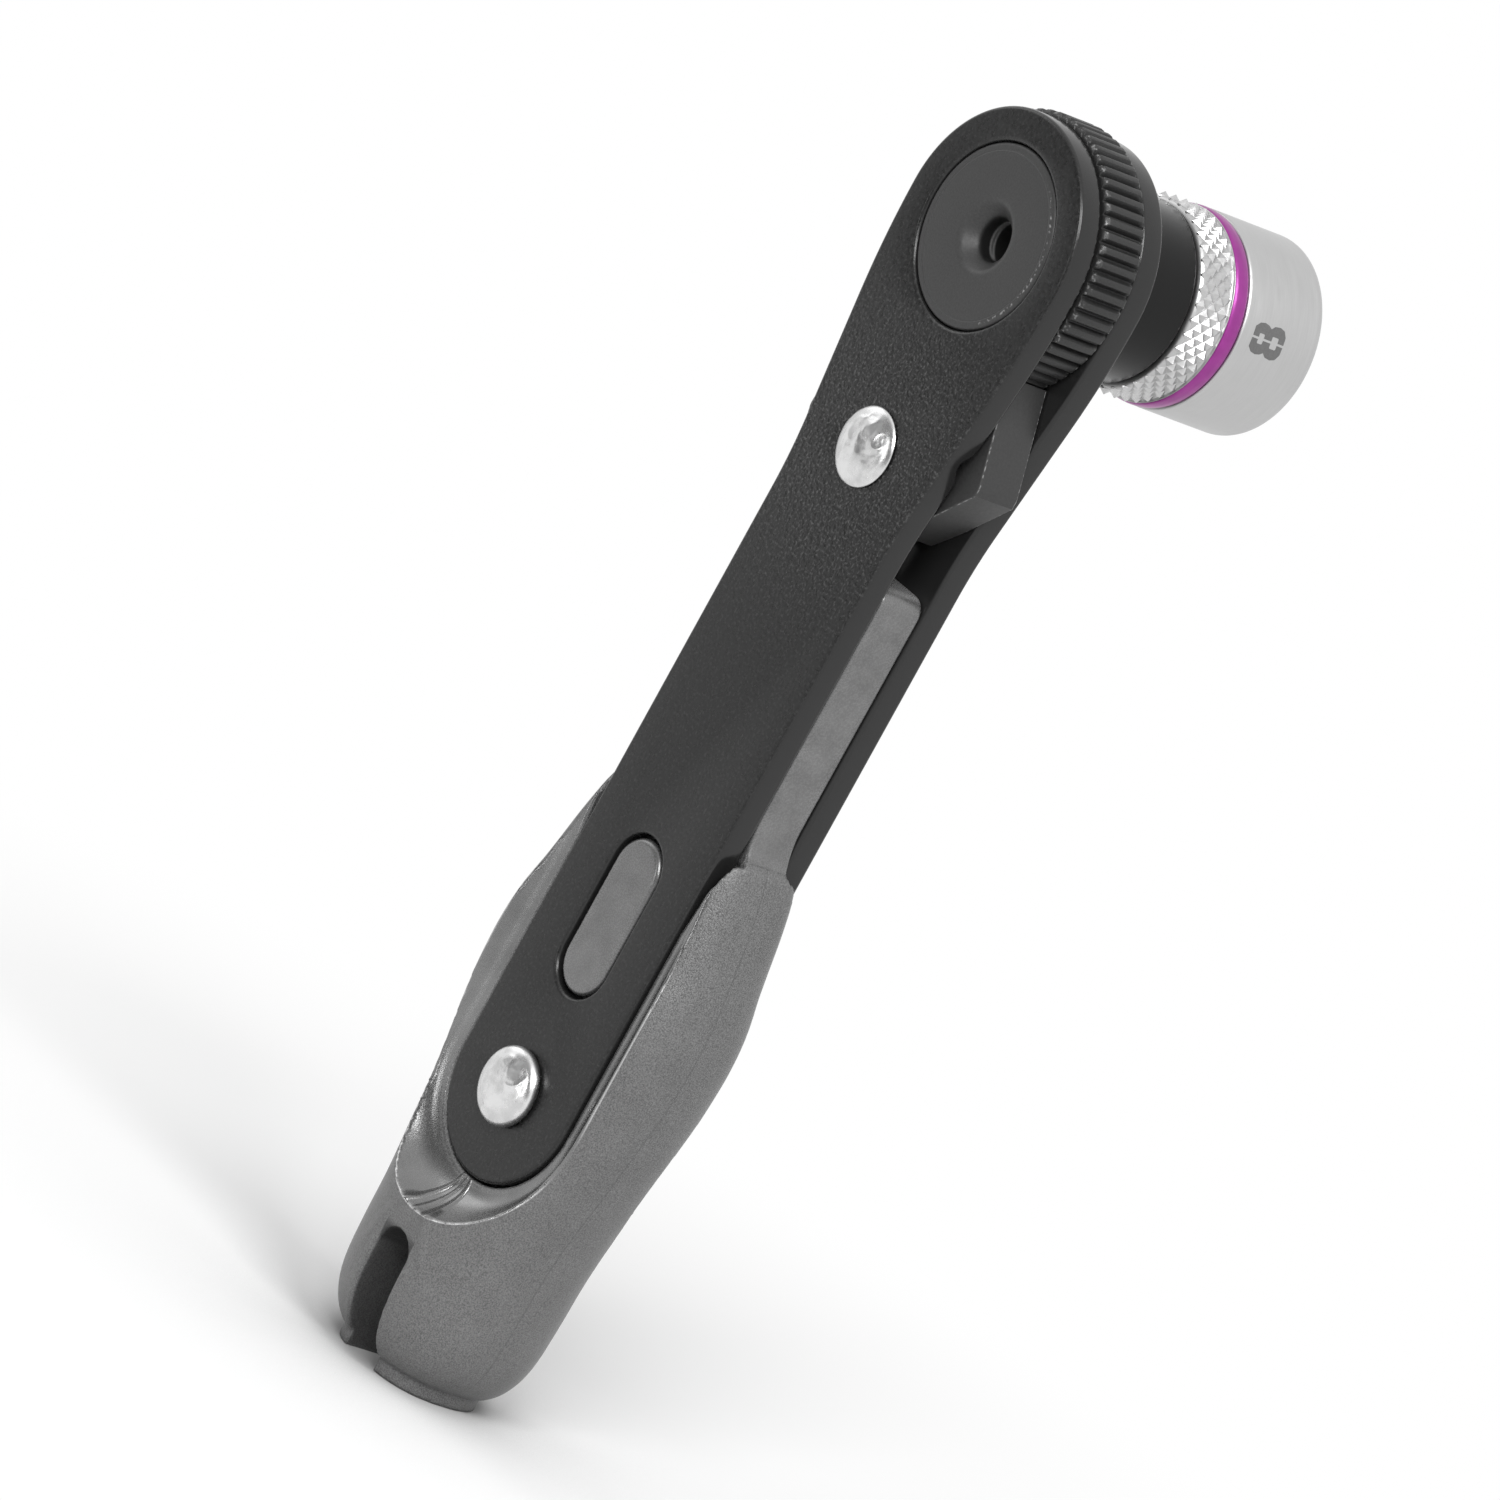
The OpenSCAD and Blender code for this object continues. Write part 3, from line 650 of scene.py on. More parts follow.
# %% Drill the tongue for the plunger and its spring
plunger_low, plunger_high = [Vector(corner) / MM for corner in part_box("detent_plunger")]
spring_low, spring_high = [Vector(corner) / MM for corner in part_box("detent_spring")]
drill_r = (plunger_high.x - plunger_low.x) / 2 + RUNNING_FIT
drill_round = arc(0, 0, drill_r, 0, 360, 48)[:-1]
drill_ends = (spring_low.z - RUNNING_FIT, TONGUE_TOP + 1)
drill = skin("drill", [[(x, y, z) for x, y in drill_round] for z in drill_ends])
combine(tongue, "DIFFERENCE", drill)
clean(tongue, 40)
print("tongue has", len(tongue.data.polygons), "faces and a hole", round(2 * drill_r, 2), "mm wide")

# %% Round the casting's edges
VOXEL = 0.2

sharp_form = put("sharp_form", handle.data.copy())
bake(handle, "REMESH", mode="VOXEL", voxel_size=VOXEL * MM, use_smooth_shade=True)
bake(handle, "SHRINKWRAP", target=sharp_form, wrap_method="NEAREST_SURFACEPOINT")
bake(handle, "SMOOTH", factor=0.5, iterations=1)
bpy.data.objects.remove(sharp_form)
clean(handle, sharp=80)
print("casting has", len(handle.data.polygons), "faces")

# %% [markdown]
# ## Handle lacquer
# A metallic grey lacquer lies over the casting, with a fine sparkle. It is smoother in the dish,
# and a pale line along the dish's rim is a painted highlight. The mould's parting line runs down
# both sides as a shallow groove darkened with painted shade, and thin ridges fan out on the centre
# line below the plate, where the metal flowed round it. Forms as thin as these are relief in the
# shader. The inside of the cord slot is painted dark as shade. The tongue and the boss are smooth
# and get a glossier coat, with a painted highlight on the tongue's top end.

# %% Mix the lacquer's tones
RIM_INNER = 7.9
RIM_OUTER = 9.5
SEAM_X = 6.3

lacquer = Finish("handle_lacquer", Specular_IOR_Level=0.5)
flake = lacquer.grain(0.09).step(0.25, 0.75)
cloud = lacquer.grain(2.5, 3.0)
side_x = lacquer.x.math("ABSOLUTE")
side_y = lacquer.y.math("ABSOLUTE")

# Distance from the plate's round end, and the dish's height there
below_rivet = (lacquer.z + ANCHOR_DROP).math("MINIMUM", 0)
reach = (lacquer.x * lacquer.x + below_rivet * below_rivet).math("SQRT")
outwards = ((reach - DISH_INNER) / (DISH_OUTER - DISH_INNER)).math("MAXIMUM", 0)
gap = outwards.math("POWER", DISH_POWER) * DISH_RISE + DISH_FLOOR - side_y
in_dish = gap.step(0.3, 0.1) * reach.step(DISH_INNER + 0.05, DISH_INNER + 0.3)
# A painted highlight: a thin pale line along the dish's rim.
rim_highlight = gap.line(0.16, 0.12) * reach.step(RIM_INNER - 0.3, RIM_INNER)
rim_highlight = rim_highlight * reach.step(RIM_OUTER + 0.3, RIM_OUTER)
# Painted shade: the inside of the cord slot is coloured dark.
slot_shade = side_x.step(SLOT_HALF + 0.07, SLOT_HALF - 0.05)
slot_shade = slot_shade * lacquer.z.step(SLOT_TOP + 0.2, SLOT_TOP - 0.4)
# The parting line is a shallow groove in the relief, and its colour is darkened along it as painted
# shade.
seam_groove_and_shade = lacquer.y.line(0.0, 0.1) * side_x.step(SEAM_X - 0.4, SEAM_X)

skin_tone = lacquer.mix(flake * 0.75 + cloud * 0.25, grey(0.07), grey(0.225))
dish_tone = lacquer.mix(cloud, grey(0.15), grey(0.30))
coated = lacquer.mix(in_dish * 0.8, skin_tone, dish_tone)
coated = lacquer.mix(slot_shade * 0.75, coated, grey(0.02))
coated = lacquer.mix(seam_groove_and_shade * 0.35, coated, grey(0.06))
lacquer.set("Base Color", lacquer.mix(rim_highlight * 0.8, coated, grey(0.6)))
lacquer.set("Metallic", 0.35 + in_dish * 0.5)
lacquer.set("Roughness", 0.40 + (flake - 0.5) * 0.16 - in_dish * 0.16)
print("the lacquer has", len(lacquer.tree.nodes), "nodes")

# %% Raise the ridges below the plate and lacquer the handle
FAN_TOP = -66.6
FAN_END = -69.6
FAN_WIDTH = 0.35
FAN_SPREAD = 0.25
RIDGE_H = 0.13
LIP_X = 1.2
LIP_TOP = -69.2
LIP_END = -71.0
LIP_LEAN = 0.44
LIP_H = 0.14

fan = side_x / (FAN_WIDTH + (FAN_TOP - lacquer.z).math("MAXIMUM", 0) * FAN_SPREAD)
fan_zone = lacquer.z.step(FAN_TOP + 0.2, FAN_TOP - 0.2) * lacquer.z.step(FAN_END - 0.8, FAN_END)
ridges = (fan.line(1.0, 0.45) + fan.line(0.0, 0.3) * 0.6) * fan_zone * RIDGE_H
beside = (side_x - LIP_X - (LIP_TOP - lacquer.z) * LIP_LEAN).line(0, 0.7)
lip_zone = lacquer.z.step(LIP_TOP + 0.2, LIP_TOP - 0.4) * lacquer.z.step(LIP_END - 4, LIP_END)
lips = beside * lip_zone * LIP_H
grain_height = (flake * 0.014 + lacquer.grain(0.2) * 0.012) * (1 - in_dish * 0.8)
lacquer.relief(grain_height - seam_groove_and_shade * 0.02 + ridges + lips)
fit(handle, "frame", "handle_grey", lacquer, "handle_body")

# %% Lacquer the smooth tongue and boss
glossy = Finish("handle_gloss", Metallic=0.6, Specular_IOR_Level=0.5)
swirl = glossy.grain(1.6, 3.0)
dust = glossy.grain(0.1)
glossy_tone = glossy.mix(dust * 0.5 + swirl * 0.5, grey(0.07), grey(0.28))
# A painted highlight: the tongue's top end is coloured pale.
top_end_highlight = glossy.z.step(TONGUE_TOP - 0.3, TONGUE_TOP - 0.05)
glossy.set("Base Color", glossy.mix(top_end_highlight * 0.7, glossy_tone, grey(0.6)))
glossy.set("Roughness", 0.27 + (dust - 0.5) * 0.2)
glossy.relief(dust * 0.006 + swirl * 0.05)
fit(tongue, "frame", "handle_grey", glossy)
fit(boss, "frame", "handle_grey", glossy)

# %% [markdown]
# ## Rivets
# Both rivets are closed by a hammer blow, so their heads are shallow domes with an uneven middle
# and small dents, plated in bright zinc. The profile is turned, and each point of the domes is then
# moved by smooth noise, more in the middle than at the rim.

# %% Turn and hammer the rivets
HEAD_EDGE_R = 2.6
SHANK_R = 1.6
LEVER_RIM_H = 0.4
LOWER_RIM_H = 0.9

# Radius, and height above the rim
DOME = [(0, 0.45), (0.9, 0.42), (1.7, 0.3), (HEAD_EDGE_R, -0.15)]

HAMMERED_R = 2.45
FLATTENED = 0.04
DENT = 0.1
RIPPLE = 0.012


def rivet(name, drop, rim_h):
    top = STACK_HALF + rim_h
    half_line = [(r, top + h) for r, h in DOME]
    half_line += [(HEAD_EDGE_R, STACK_HALF), (SHANK_R, STACK_HALF), (SHANK_R, 0)]
    half_line = soften(half_line, 0.45, 8)
    front = [(r, -y) for r, y in half_line]
    solid = turn(name, front + half_line[::-1], 96, drop)
    bake(solid, "SUBSURF", levels=1, render_levels=1)
    for vertex in solid.data.vertices:
        place = vertex.co / MM
        inside = HAMMERED_R - math.hypot(place.x, place.z + drop)
        if abs(place.y) > top - 0.25 and inside > 0:
            dent = noise.noise(place * 0.8) * DENT + noise.noise(place * 3.1) * RIPPLE
            sink = FLATTENED + abs(dent) * min(1, inside / 0.8)
            vertex.co.y -= math.copysign(sink * MM * min(1, inside / 0.5), place.y)
    return clean(solid, 50)


lever_rivet = rivet("lever_rivet", PIVOT_DROP, LEVER_RIM_H)
lower_rivet = rivet("lower_rivet", ANCHOR_DROP, LOWER_RIM_H)
print("the rivets have", len(lever_rivet.data.polygons), "faces each")

# %% Plate the rivets
zinc = Finish("rivet_zinc", Metallic=1.0)
stain = zinc.grain(1.1, 3.0)
fleck = zinc.grain(0.12)
pit = fleck.step(0.28, 0.22)
zinc.set("Base Color", zinc.mix(stain.step(0.35, 0.65), grey(0.60), grey(0.76)))
zinc.set("Roughness", 0.2 + stain * 0.14 + pit * 0.3)
zinc.relief(stain * 0.012 + fleck * 0.003 - pit * 0.01)
fit(lever_rivet, "frame", "rivet_zinc", zinc, "pawl_rivet")
fit(lower_rivet, "frame", "rivet_zinc", zinc, "handle_rivet")

# %% [markdown]
# ## Copies in rings
# The wheel's sixty teeth and the socket's knurl are the same idea: one small solid, copied round
# the axis in one or more rows. A Geometry Nodes tree does it. Each point of a line gets its place
# and turn from its own index, and every second row is shifted by half a step.

# %% Build the tree that copies in rings
NUDGE = 0.0001


def ring_tree():
    """Gives a group that copies a solid; the nudge keeps whole rows from rounding down."""
    group = bpy.data.node_groups.new("copies_in_rings", "GeometryNodeTree")
    face = group.interface
    face.new_socket("Geometry", in_out="INPUT", socket_type="NodeSocketGeometry")
    sizes = {"Count": "Int", "Rows": "Int", "Row step": "Float", "Finish": "Material"}
    for name, kind in sizes.items():
        face.new_socket(name, in_out="INPUT", socket_type="NodeSocket" + kind)
    face.new_socket("Geometry", in_out="OUTPUT", socket_type="NodeSocketGeometry")
    tree = Tree(group)
    given = group.nodes.new("NodeGroupInput")
    one, count, rows, row_step, finish = [Number(tree, given.outputs[i]) for i in range(5)]
    every = {"Count": count * rows, "Offset": (0, 0, 0)}
    points = tree.node("GeometryNodeMeshLine", {"mode": "OFFSET"}, every)
    index = tree.node("GeometryNodeInputIndex")
    row = (index / count + NUDGE).math("FLOOR")
    shift = row.math("MODULO", 2) * 0.5
    spin = (index - row * count + shift) / count * (2 * math.pi)
    offset = tree.node("ShaderNodeCombineXYZ", None, {1: row * row_step})
    placed = tree.node("GeometryNodeSetPosition", None, {"Geometry": points, "Offset": offset})
    turned = tree.node("ShaderNodeCombineXYZ", None, {1: spin})
    put_on = {"Points": placed, "Instance": one, "Rotation": turned}
    copied = tree.node("GeometryNodeInstanceOnPoints", None, put_on)
    real = tree.node("GeometryNodeRealizeInstances", None, {"Geometry": copied})
    done = tree.node("GeometryNodeSetMaterial", None, {"Geometry": real, "Material": finish})
    tree.feed(group.nodes.new("NodeGroupOutput").inputs[0], done)
    return group


copies = ring_tree()
print("the tree has", len(copies.nodes), "nodes")


# %% Run the tree on one solid
def in_rings(thing, count, rows, row_step, finish):
    step = thing.modifiers.new("rings", "NODES")
    step.node_group = copies
    values = {"Count": count, "Rows": rows, "Row step": row_step * MM, "Finish": finish.material}
    for item in copies.interface.items_tree:
        if item.in_out == "INPUT" and item.name in values:
            step[item.identifier] = values[item.name]
    thing.data = plain_mesh(thing)
    thing.modifiers.clear()
    return thing


# %% [markdown]
# ## Drive gear
# The gear is machined from one bar and blackened: a disc in the front plate, a toothed wheel for
# the thumb and a collar behind the back plate. The core is a turned profile, with a hex bore cut
# from the rear until it meets the hole that pushes a stuck bit out. One tooth is skinned through
# sections that get lower towards its ends, which rounds the ends, and is copied round.

# %% Turn the core and cut its hex bore
GEAR_FRONT = -3.5
WHEEL_HALF = 1.7
COLLAR_END = 8.95
VALLEY_R = 8.2
CORE_R = VALLEY_R - 0.04
PUSH_HOLE_R = 1.4
PUSH_DISH_R = 2.3
PUSH_DISH_FLOOR = -2.6
HEX_BORE = 6.45
HEX_FLOOR = 0.55

hole_end = HEX_FLOOR + 0.65
core_line = [(0, hole_end), (PUSH_HOLE_R, hole_end), (PUSH_HOLE_R, PUSH_DISH_FLOOR)]
core_line += [(PUSH_DISH_R, GEAR_FRONT), (JOURNAL_R, GEAR_FRONT), (JOURNAL_R, -WHEEL_HALF)]
core_line += [(CORE_R, -WHEEL_HALF), (CORE_R, WHEEL_HALF), (JOURNAL_R, WHEEL_HALF)]
core_line += [(JOURNAL_R, COLLAR_END), (0, COLLAR_END)]
core = turn("gear_core", soften(core_line, 0.3, 5), 160)
combine(core, "DIFFERENCE", hexagon(HEX_BORE, HEX_FLOOR, COLLAR_END + 3))
clean(core, 40)
print("the core has", len(core.data.polygons), "faces")

# %% Skin one tooth
TIP_R = 8.65
TEETH = 60

# Radius, and share of the pitch from the tooth's middle
FLANK = [(7.9, -0.5), (VALLEY_R, -0.5), (VALLEY_R + 0.02, -0.44), (8.52, -0.29), (8.62, -0.22)]
# Place along the axis, and the greatest radius there
TOOTH_END = [(-WHEEL_HALF, 8.35), (-1.66, 8.43), (-1.58, 8.52), (-1.46, 8.61), (-1.34, TIP_R)]


def tooth():
    pitch = 2 * math.pi / TEETH
    half_shape = FLANK + [(TIP_R, -0.1)]
    shape = half_shape + [(r, -a) for r, a in reversed(half_shape)]
    ends = TOOTH_END + [(-y, r) for y, r in reversed(TOOTH_END)]
    sections = []
    for y, tallest in ends:
        ring = [(min(r, tallest), a * pitch) for r, a in shape]
        sections.append([(r * math.cos(a), y, r * math.sin(a)) for r, a in ring])
    return skin("wheel_teeth", sections)


print("the wheel gets", TEETH, "teeth")

# %% [markdown]
# ## Black oxide
# The gear and the lever are blackened steel, dark grey and satin. The finish wears through at the
# disc's edge and on the ends of the teeth, where thumbs and pockets rub. Painted highlights lie in
# the push-out hole and in a crescent at the collar's foot, and the hole is painted dark inside as
# shade. The collar is smoother than the disc, and its darker colour is painted shade.

# %% Find where the gear is worn and where light and shade are painted
oxide = Finish("gear_oxide", Specular_IOR_Level=0.45)
away = oxide.from_axis()
rub = oxide.grain(0.22, 3.0)
fine = oxide.grain(0.13)
# The collar is smoother and more metallic; its darker colour is painted shade on a face turned from
# the light.
collar = oxide.y.step(STACK_HALF - 0.1, STACK_HALF + 0.2)
# The bore mask also darkens the push-out hole below: painted shade in the recess.
bore = away.step(PUSH_HOLE_R + 0.1, PUSH_HOLE_R)
# A painted highlight: a bright crescent on the left wall of the push-out hole.
hole_highlight = bore * oxide.y.line(-1.5, 0.3) * oxide.x.step(-0.2, -1.1)
disc_edge = away.line(JOURNAL_R - 0.35, 0.14) * oxide.y.line(GEAR_FRONT + 0.02, 0.15)
disc_edge = disc_edge * oxide.x.step(2.5, 4.5)
tips = away.step(TIP_R - 0.35, TIP_R - 0.23)
tips = tips * oxide.y.math("ABSOLUTE").line(WHEEL_HALF - 0.12, 0.2)
# A painted highlight: a bright crescent where the collar leaves the back plate.
collar_foot_highlight = away.line(JOURNAL_R, 0.12) * oxide.y.line(STACK_HALF + 0.35, 0.3)
collar_foot_highlight = collar_foot_highlight * oxide.z.step(-1, -3) * oxide.x.step(1, 3)
# Real wear on the disc's edge and the teeth, with the two painted highlights added.
wear_and_highlights = (disc_edge * 0.6 + tips * 0.35) * rub.step(0.5, 0.66) + hole_highlight + collar_foot_highlight
print("the gear's wear takes", len(oxide.tree.nodes), "nodes")

# %% Blacken the gear
disc_tone = oxide.mix(fine, grey(0.022), grey(0.052))
wheel_tone = oxide.mix(fine, grey(0.008), grey(0.03))
blackened = oxide.mix(away.step(VALLEY_R - 0.8, VALLEY_R - 0.2), disc_tone, wheel_tone)
# Painted shade: the push-out hole is darkened inside, and the collar is coloured darker than the
# disc.
blackened = oxide.mix(collar, oxide.mix(bore, blackened, grey(0.012)), grey(0.022))
oxide.set("Base Color", oxide.mix(wear_and_highlights, blackened, grey(0.6)))
oxide.set("Metallic", wear_and_highlights.math("MAXIMUM", collar) * 0.9)
oxide.set("Roughness", 0.46 - wear_and_highlights * 0.16 + (rub - 0.5) * 0.12 - collar * 0.24)
groove = away.line(JOURNAL_R - 0.55, 0.07) * oxide.y.step(GEAR_FRONT + 0.2, GEAR_FRONT + 0.05)
oxide.relief(fine * 0.012 * (1 - collar * 0.9) - groove * 0.02)
fit(core, "gear", "gear_dark", oxide, "drive_gear")
teeth = in_rings(tooth(), TEETH, 1, 0, oxide)
clean(teeth, 35)
fit(teeth, "gear", "gear_dark", oxide)

# %% [markdown]
# ## Direction lever
# The lever is a flat steel piece with toothed noses that meet the wheel. Its outline is read from
# the model's own flat face, so the meshing teeth stay exact, and is then given rounded edges.

# %% Read a node's flat outline and rebuild it
LEVER_HALF = 1.65
LEVER_ROLL = 0.1


def flat_loops(node, y):
    """Follows the edges round the faces that lie flat at that y."""
    work = bmesh.new()
    work.from_mesh(frame["nodes"][node].data)
    bmesh.ops.remove_doubles(work, verts=work.verts, dist=4 * MERGE)
    level = [f for f in work.faces if all(abs(v.co.y - y * MM) < 4 * MERGE for v in f.verts)]
    inside = set(level)
    ahead = {}
    for f in level:
        for corner in f.loops:
            if len(inside.intersection(corner.edge.link_faces)) == 1:
                following = corner.link_loop_next.vert.index
                ahead[corner.vert.index] = (following, corner.vert.co.copy())
    loops = []
    while ahead:
        start = next(iter(ahead))
        loop = []
        while start in ahead:
            start, place = ahead.pop(start)
            loop.append((place.x / MM, place.z / MM))
        loops.append(loop)
    work.free()
    return loops


lever_loops = flat_loops("direction_lever", -LEVER_HALF)
print("lever outline has", [len(loop) for loop in lever_loops], "points")
lever = sheet_metal(
    "direction_lever_dressed", lever_loops, -LEVER_HALF, LEVER_HALF, LEVER_ROLL, 3)

# %% Blacken the lever
lever_oxide = Finish("lever_oxide", Specular_IOR_Level=0.5)
lever_rub = lever_oxide.grain(0.25, 3.0)
lever_edge = lever_oxide.y.math("ABSOLUTE").line(LEVER_HALF - 0.075, 0.06)
lever_edge = lever_edge * lever_oxide.x.math("ABSOLUTE").step(4, 6)
lever_worn = lever_edge * lever_rub.step(0.42, 0.64) * 0.5
lever_tone = lever_oxide.mix(lever_oxide.grain(0.16), grey(0.018), grey(0.036))
lever_oxide.set("Base Color", lever_oxide.mix(lever_worn, lever_tone, grey(0.45)))
lever_oxide.set("Roughness", 0.5 + (lever_rub - 0.5) * 0.15)
lever_oxide.relief(lever_oxide.grain(0.14) * 0.002)
fit(lever, "lever", "lever_dark", lever_oxide, "direction_lever")

# %% [markdown]
# ## Socket
# The socket is turned, knurled and plated. Its satin body carries fine turning lines, and its
# knurled zone stays bright. The hex shank is joined on and the hex mouth is cut. The knurl is made
# of rows of low pyramids, staggered from row to row, as a knurling wheel leaves them.

# %% Sizes of the socket
SOCKET_START = 9.0
SOCKET_END = 19.8
SOCKET_R = 6.5
KNURL_ROOT = 6.2
KNURL_END = 11.7
GROOVE_R = 6.05
GROOVE_START = 11.8
GROOVE_END = 13.0
MOUTH_FLOOR = 13.0
MOUTH_CHAMFER = 19.2
MOUTH_HEX = 8.1
SHANK_HEX = 6.25
SHANK_START = 0.6
print("the socket is", round(SOCKET_END - SOCKET_START, 2), "mm long")

# %% Turn the socket
shell_line = [(0, SOCKET_START), (5.95, SOCKET_START), (KNURL_ROOT, SOCKET_START + 0.2)]
shell_line += [(KNURL_ROOT, KNURL_END), (6.4, 11.74), (6.4, GROOVE_START)]
shell_line += [(GROOVE_R, GROOVE_START), (GROOVE_R, GROOVE_END), (SOCKET_R, GROOVE_END)]
shell_line += [(SOCKET_R, MOUTH_CHAMFER), (6.3, 19.6), (5.9, SOCKET_END)]
shell_line += [(4.62, SOCKET_END), (4.1, MOUTH_CHAMFER), (0, MOUTH_CHAMFER)]
shell = turn("socket_shell", soften(shell_line, 0.22, 5), 192)
combine(shell, "UNION", hexagon(SHANK_HEX, SHANK_START, SOCKET_START + 0.5))
combine(shell, "DIFFERENCE", hexagon(MOUTH_HEX, MOUTH_FLOOR, SOCKET_END + 5.2))
sharp_edges = math.radians(50)
bake(shell, "BEVEL", width=0.06 * MM, segments=2, limit_method="ANGLE", angle_limit=sharp_edges)
clean(shell, 40)
print("the shell has", len(shell.data.polygons), "faces")

# %% Make one pyramid of the knurl
KNURL_COUNT = 40
KNURL_ROWS = 5
KNURL_STEP = 0.46
KNURL_START = 9.5

# Radius of each level, and its share of the full diamond
LEVELS = [(6.1, 1.02), (KNURL_ROOT, 1.0), (6.46, 0.16), (SOCKET_R, 0.06)]


def pyramid():
    wide = math.pi / KNURL_COUNT
    diamond = [(-wide, 0), (0, -KNURL_STEP), (wide, 0), (0, KNURL_STEP)]
    sections = []
    for r, share in LEVELS:
        ring = [(a * share, y * share) for a, y in diamond]
        sections.append([(r * math.cos(a), KNURL_START + y, r * math.sin(a)) for a, y in ring])
    return skin("socket_knurl", sections)


print("the knurl gets", KNURL_COUNT * KNURL_ROWS, "pyramids")

# %% [markdown]
# ## Nickel, chrome and the coloured ring
# The socket's body is satin: its long streaks round the axis come from noise that is stretched
# in X and Z, but not along Y. The knurl is smoother and brighter. The coloured ring, which shows
# the size class, has a metallic tint, a thin coat and a soft crown.

# %% Plate the socket
nickel = Finish("socket_nickel", Metallic=1.0)
streak = nickel.grain(0.12, stretch=(0.06, 1.0, 0.06))
smudge = nickel.grain(3.0, 3.0)
nickel.set("Base Color", nickel.mix(streak * 0.7 + smudge * 0.3, grey(0.46), grey(0.58)))
nickel.set("Roughness", 0.4 + (streak - 0.5) * 0.2)
nickel.relief(streak * 0.004)
fit(shell, "socket", "socket_steel", nickel, "socket_body")

# %% Copy the pyramids and plate them
chrome = Finish("knurl_chrome", Metallic=1.0)
chrome_wear = chrome.grain(0.3, 3.0)
chrome.set("Base Color", chrome.mix(chrome_wear, grey(0.46), grey(0.66)))
chrome.set("Roughness", 0.26 + chrome_wear * 0.16)
chrome.relief(chrome_wear * 0.02)
knurl = in_rings(pyramid(), KNURL_COUNT, KNURL_ROWS, KNURL_STEP, chrome)
clean(knurl, 20)
fit(knurl, "socket", "socket_steel", chrome)

# %% Turn and colour the ring
RING_INNER = GROOVE_R + 0.03
RING_START = GROOVE_START + 0.03
RING_END = GROOVE_END - 0.03
DARK_PURPLE = (0.22, 0.02, 0.19, 1)
LIGHT_PURPLE = (0.36, 0.04, 0.30, 1)

ring_line = [(RING_INNER, RING_START), (6.36, RING_START), (6.46, 12.0), (SOCKET_R, 12.4)]
ring_line += [(6.46, 12.8), (6.36, RING_END), (RING_INNER, RING_END), (RING_INNER, RING_START)]
colour_ring = turn("socket_ring", soften(ring_line, 0.12, 4), 192)
purple = Finish("ring_purple", Metallic=0.5, Roughness=0.36, Coat_Weight=0.2, Coat_Roughness=0.12)
purple.set("Base Color", purple.mix(purple.grain(0.9, 3.0), DARK_PURPLE, LIGHT_PURPLE))
purple.relief(purple.grain(0.15) * 0.003)
fit(colour_ring, "socket", "ring_purple", purple, "socket_colour_ring")

# %% [markdown]
# ## Size mark
# The socket's size is marked with a laser in stencil style: two halves with a gap on the centre
# line. The halves are drawn flat, cut into narrow strips and wrapped onto the socket, a hundredth
# of a millimetre proud, so that they stay crisp at any distance.

# %% Draw the stencil figure
STENCIL = 0.07

# Corners round the outside of one half, and then round its two eyes
OUTER = [
    (STENCIL, 0.0), (0.56, 0.0), (0.94, 0.22), (1.06, 0.6), (1.0, 1.05), (0.78, 1.32),
    (0.94, 1.56), (1.02, 1.92), (0.94, 2.32), (0.66, 2.64), (STENCIL, 2.64),
]
INNER = [
    (STENCIL, 2.15), (0.28, 2.15), (0.33, 2.1), (0.33, 1.76), (0.28, 1.7), (STENCIL, 1.7),
    (STENCIL, 1.05), (0.33, 1.05), (0.38, 1.0), (0.38, 0.55), (0.33, 0.5), (STENCIL, 0.5),
]
halves = [[(side * u, v) for u, v in OUTER + INNER] for side in (-1, 1)]
print("each half has", len(halves[0]), "corners")

# %% Wrap the figure onto the socket
MARK_TURN = 13.0
MARK_Y = 16.65
MARK_PROUD = 0.008
MARK_DEPTH = 0.02
STRIP_W = 0.11
STRIPS = 9


def wrap(name, outlines):
    """Cuts flat outlines into strips, thickens them and bends them round the socket."""
    work = bmesh.new()
    for outline in outlines:
        work.faces.new([work.verts.new((u, v, 0)) for u, v in outline])
    for k in range(-STRIPS, STRIPS + 1):
        parts = work.verts[:] + work.edges[:] + work.faces[:]
        bmesh.ops.bisect_plane(work, geom=parts, plane_co=(k * STRIP_W, 0, 0), plane_no=(1, 0, 0))
    bmesh.ops.triangulate(work, faces=work.faces)
    made = bmesh.ops.extrude_face_region(work, geom=work.faces[:])
    for item in made["geom"]:
        if isinstance(item, bmesh.types.BMVert):
            item.co.z = MARK_DEPTH
    work.verts.index_update()
    points = []
    for vertex in work.verts:
        u, v, height = vertex.co
        a = math.radians(MARK_TURN) + u / SOCKET_R
        r = SOCKET_R + MARK_PROUD - MARK_DEPTH + height
        points.append((r * math.cos(a), MARK_Y - v, r * math.sin(a)))
    # The extrusion makes its sides in any order, so the faces are sorted
    faces = sorted([vertex.index for vertex in face.verts] for face in work.faces)
    work.free()
    return piece(name, points, faces)


etched = Finish("laser_mark", Metallic=0.4, Roughness=0.55)
etched.set("Base Color", etched.mix(etched.grain(0.12), grey(0.11), grey(0.18)))
fit(wrap("size_mark", halves), "socket", "socket_steel", etched)

# %% [markdown]
# ## Small steel inside
# The ring in the hex bore, the plunger and its spring hardly show. The ring and the plunger keep
# the model's own shapes and get a drawn steel finish. The spring is wound again as a round wire,
# because it has to shorten when the plunger is pressed, and only a new piece can be squashed.

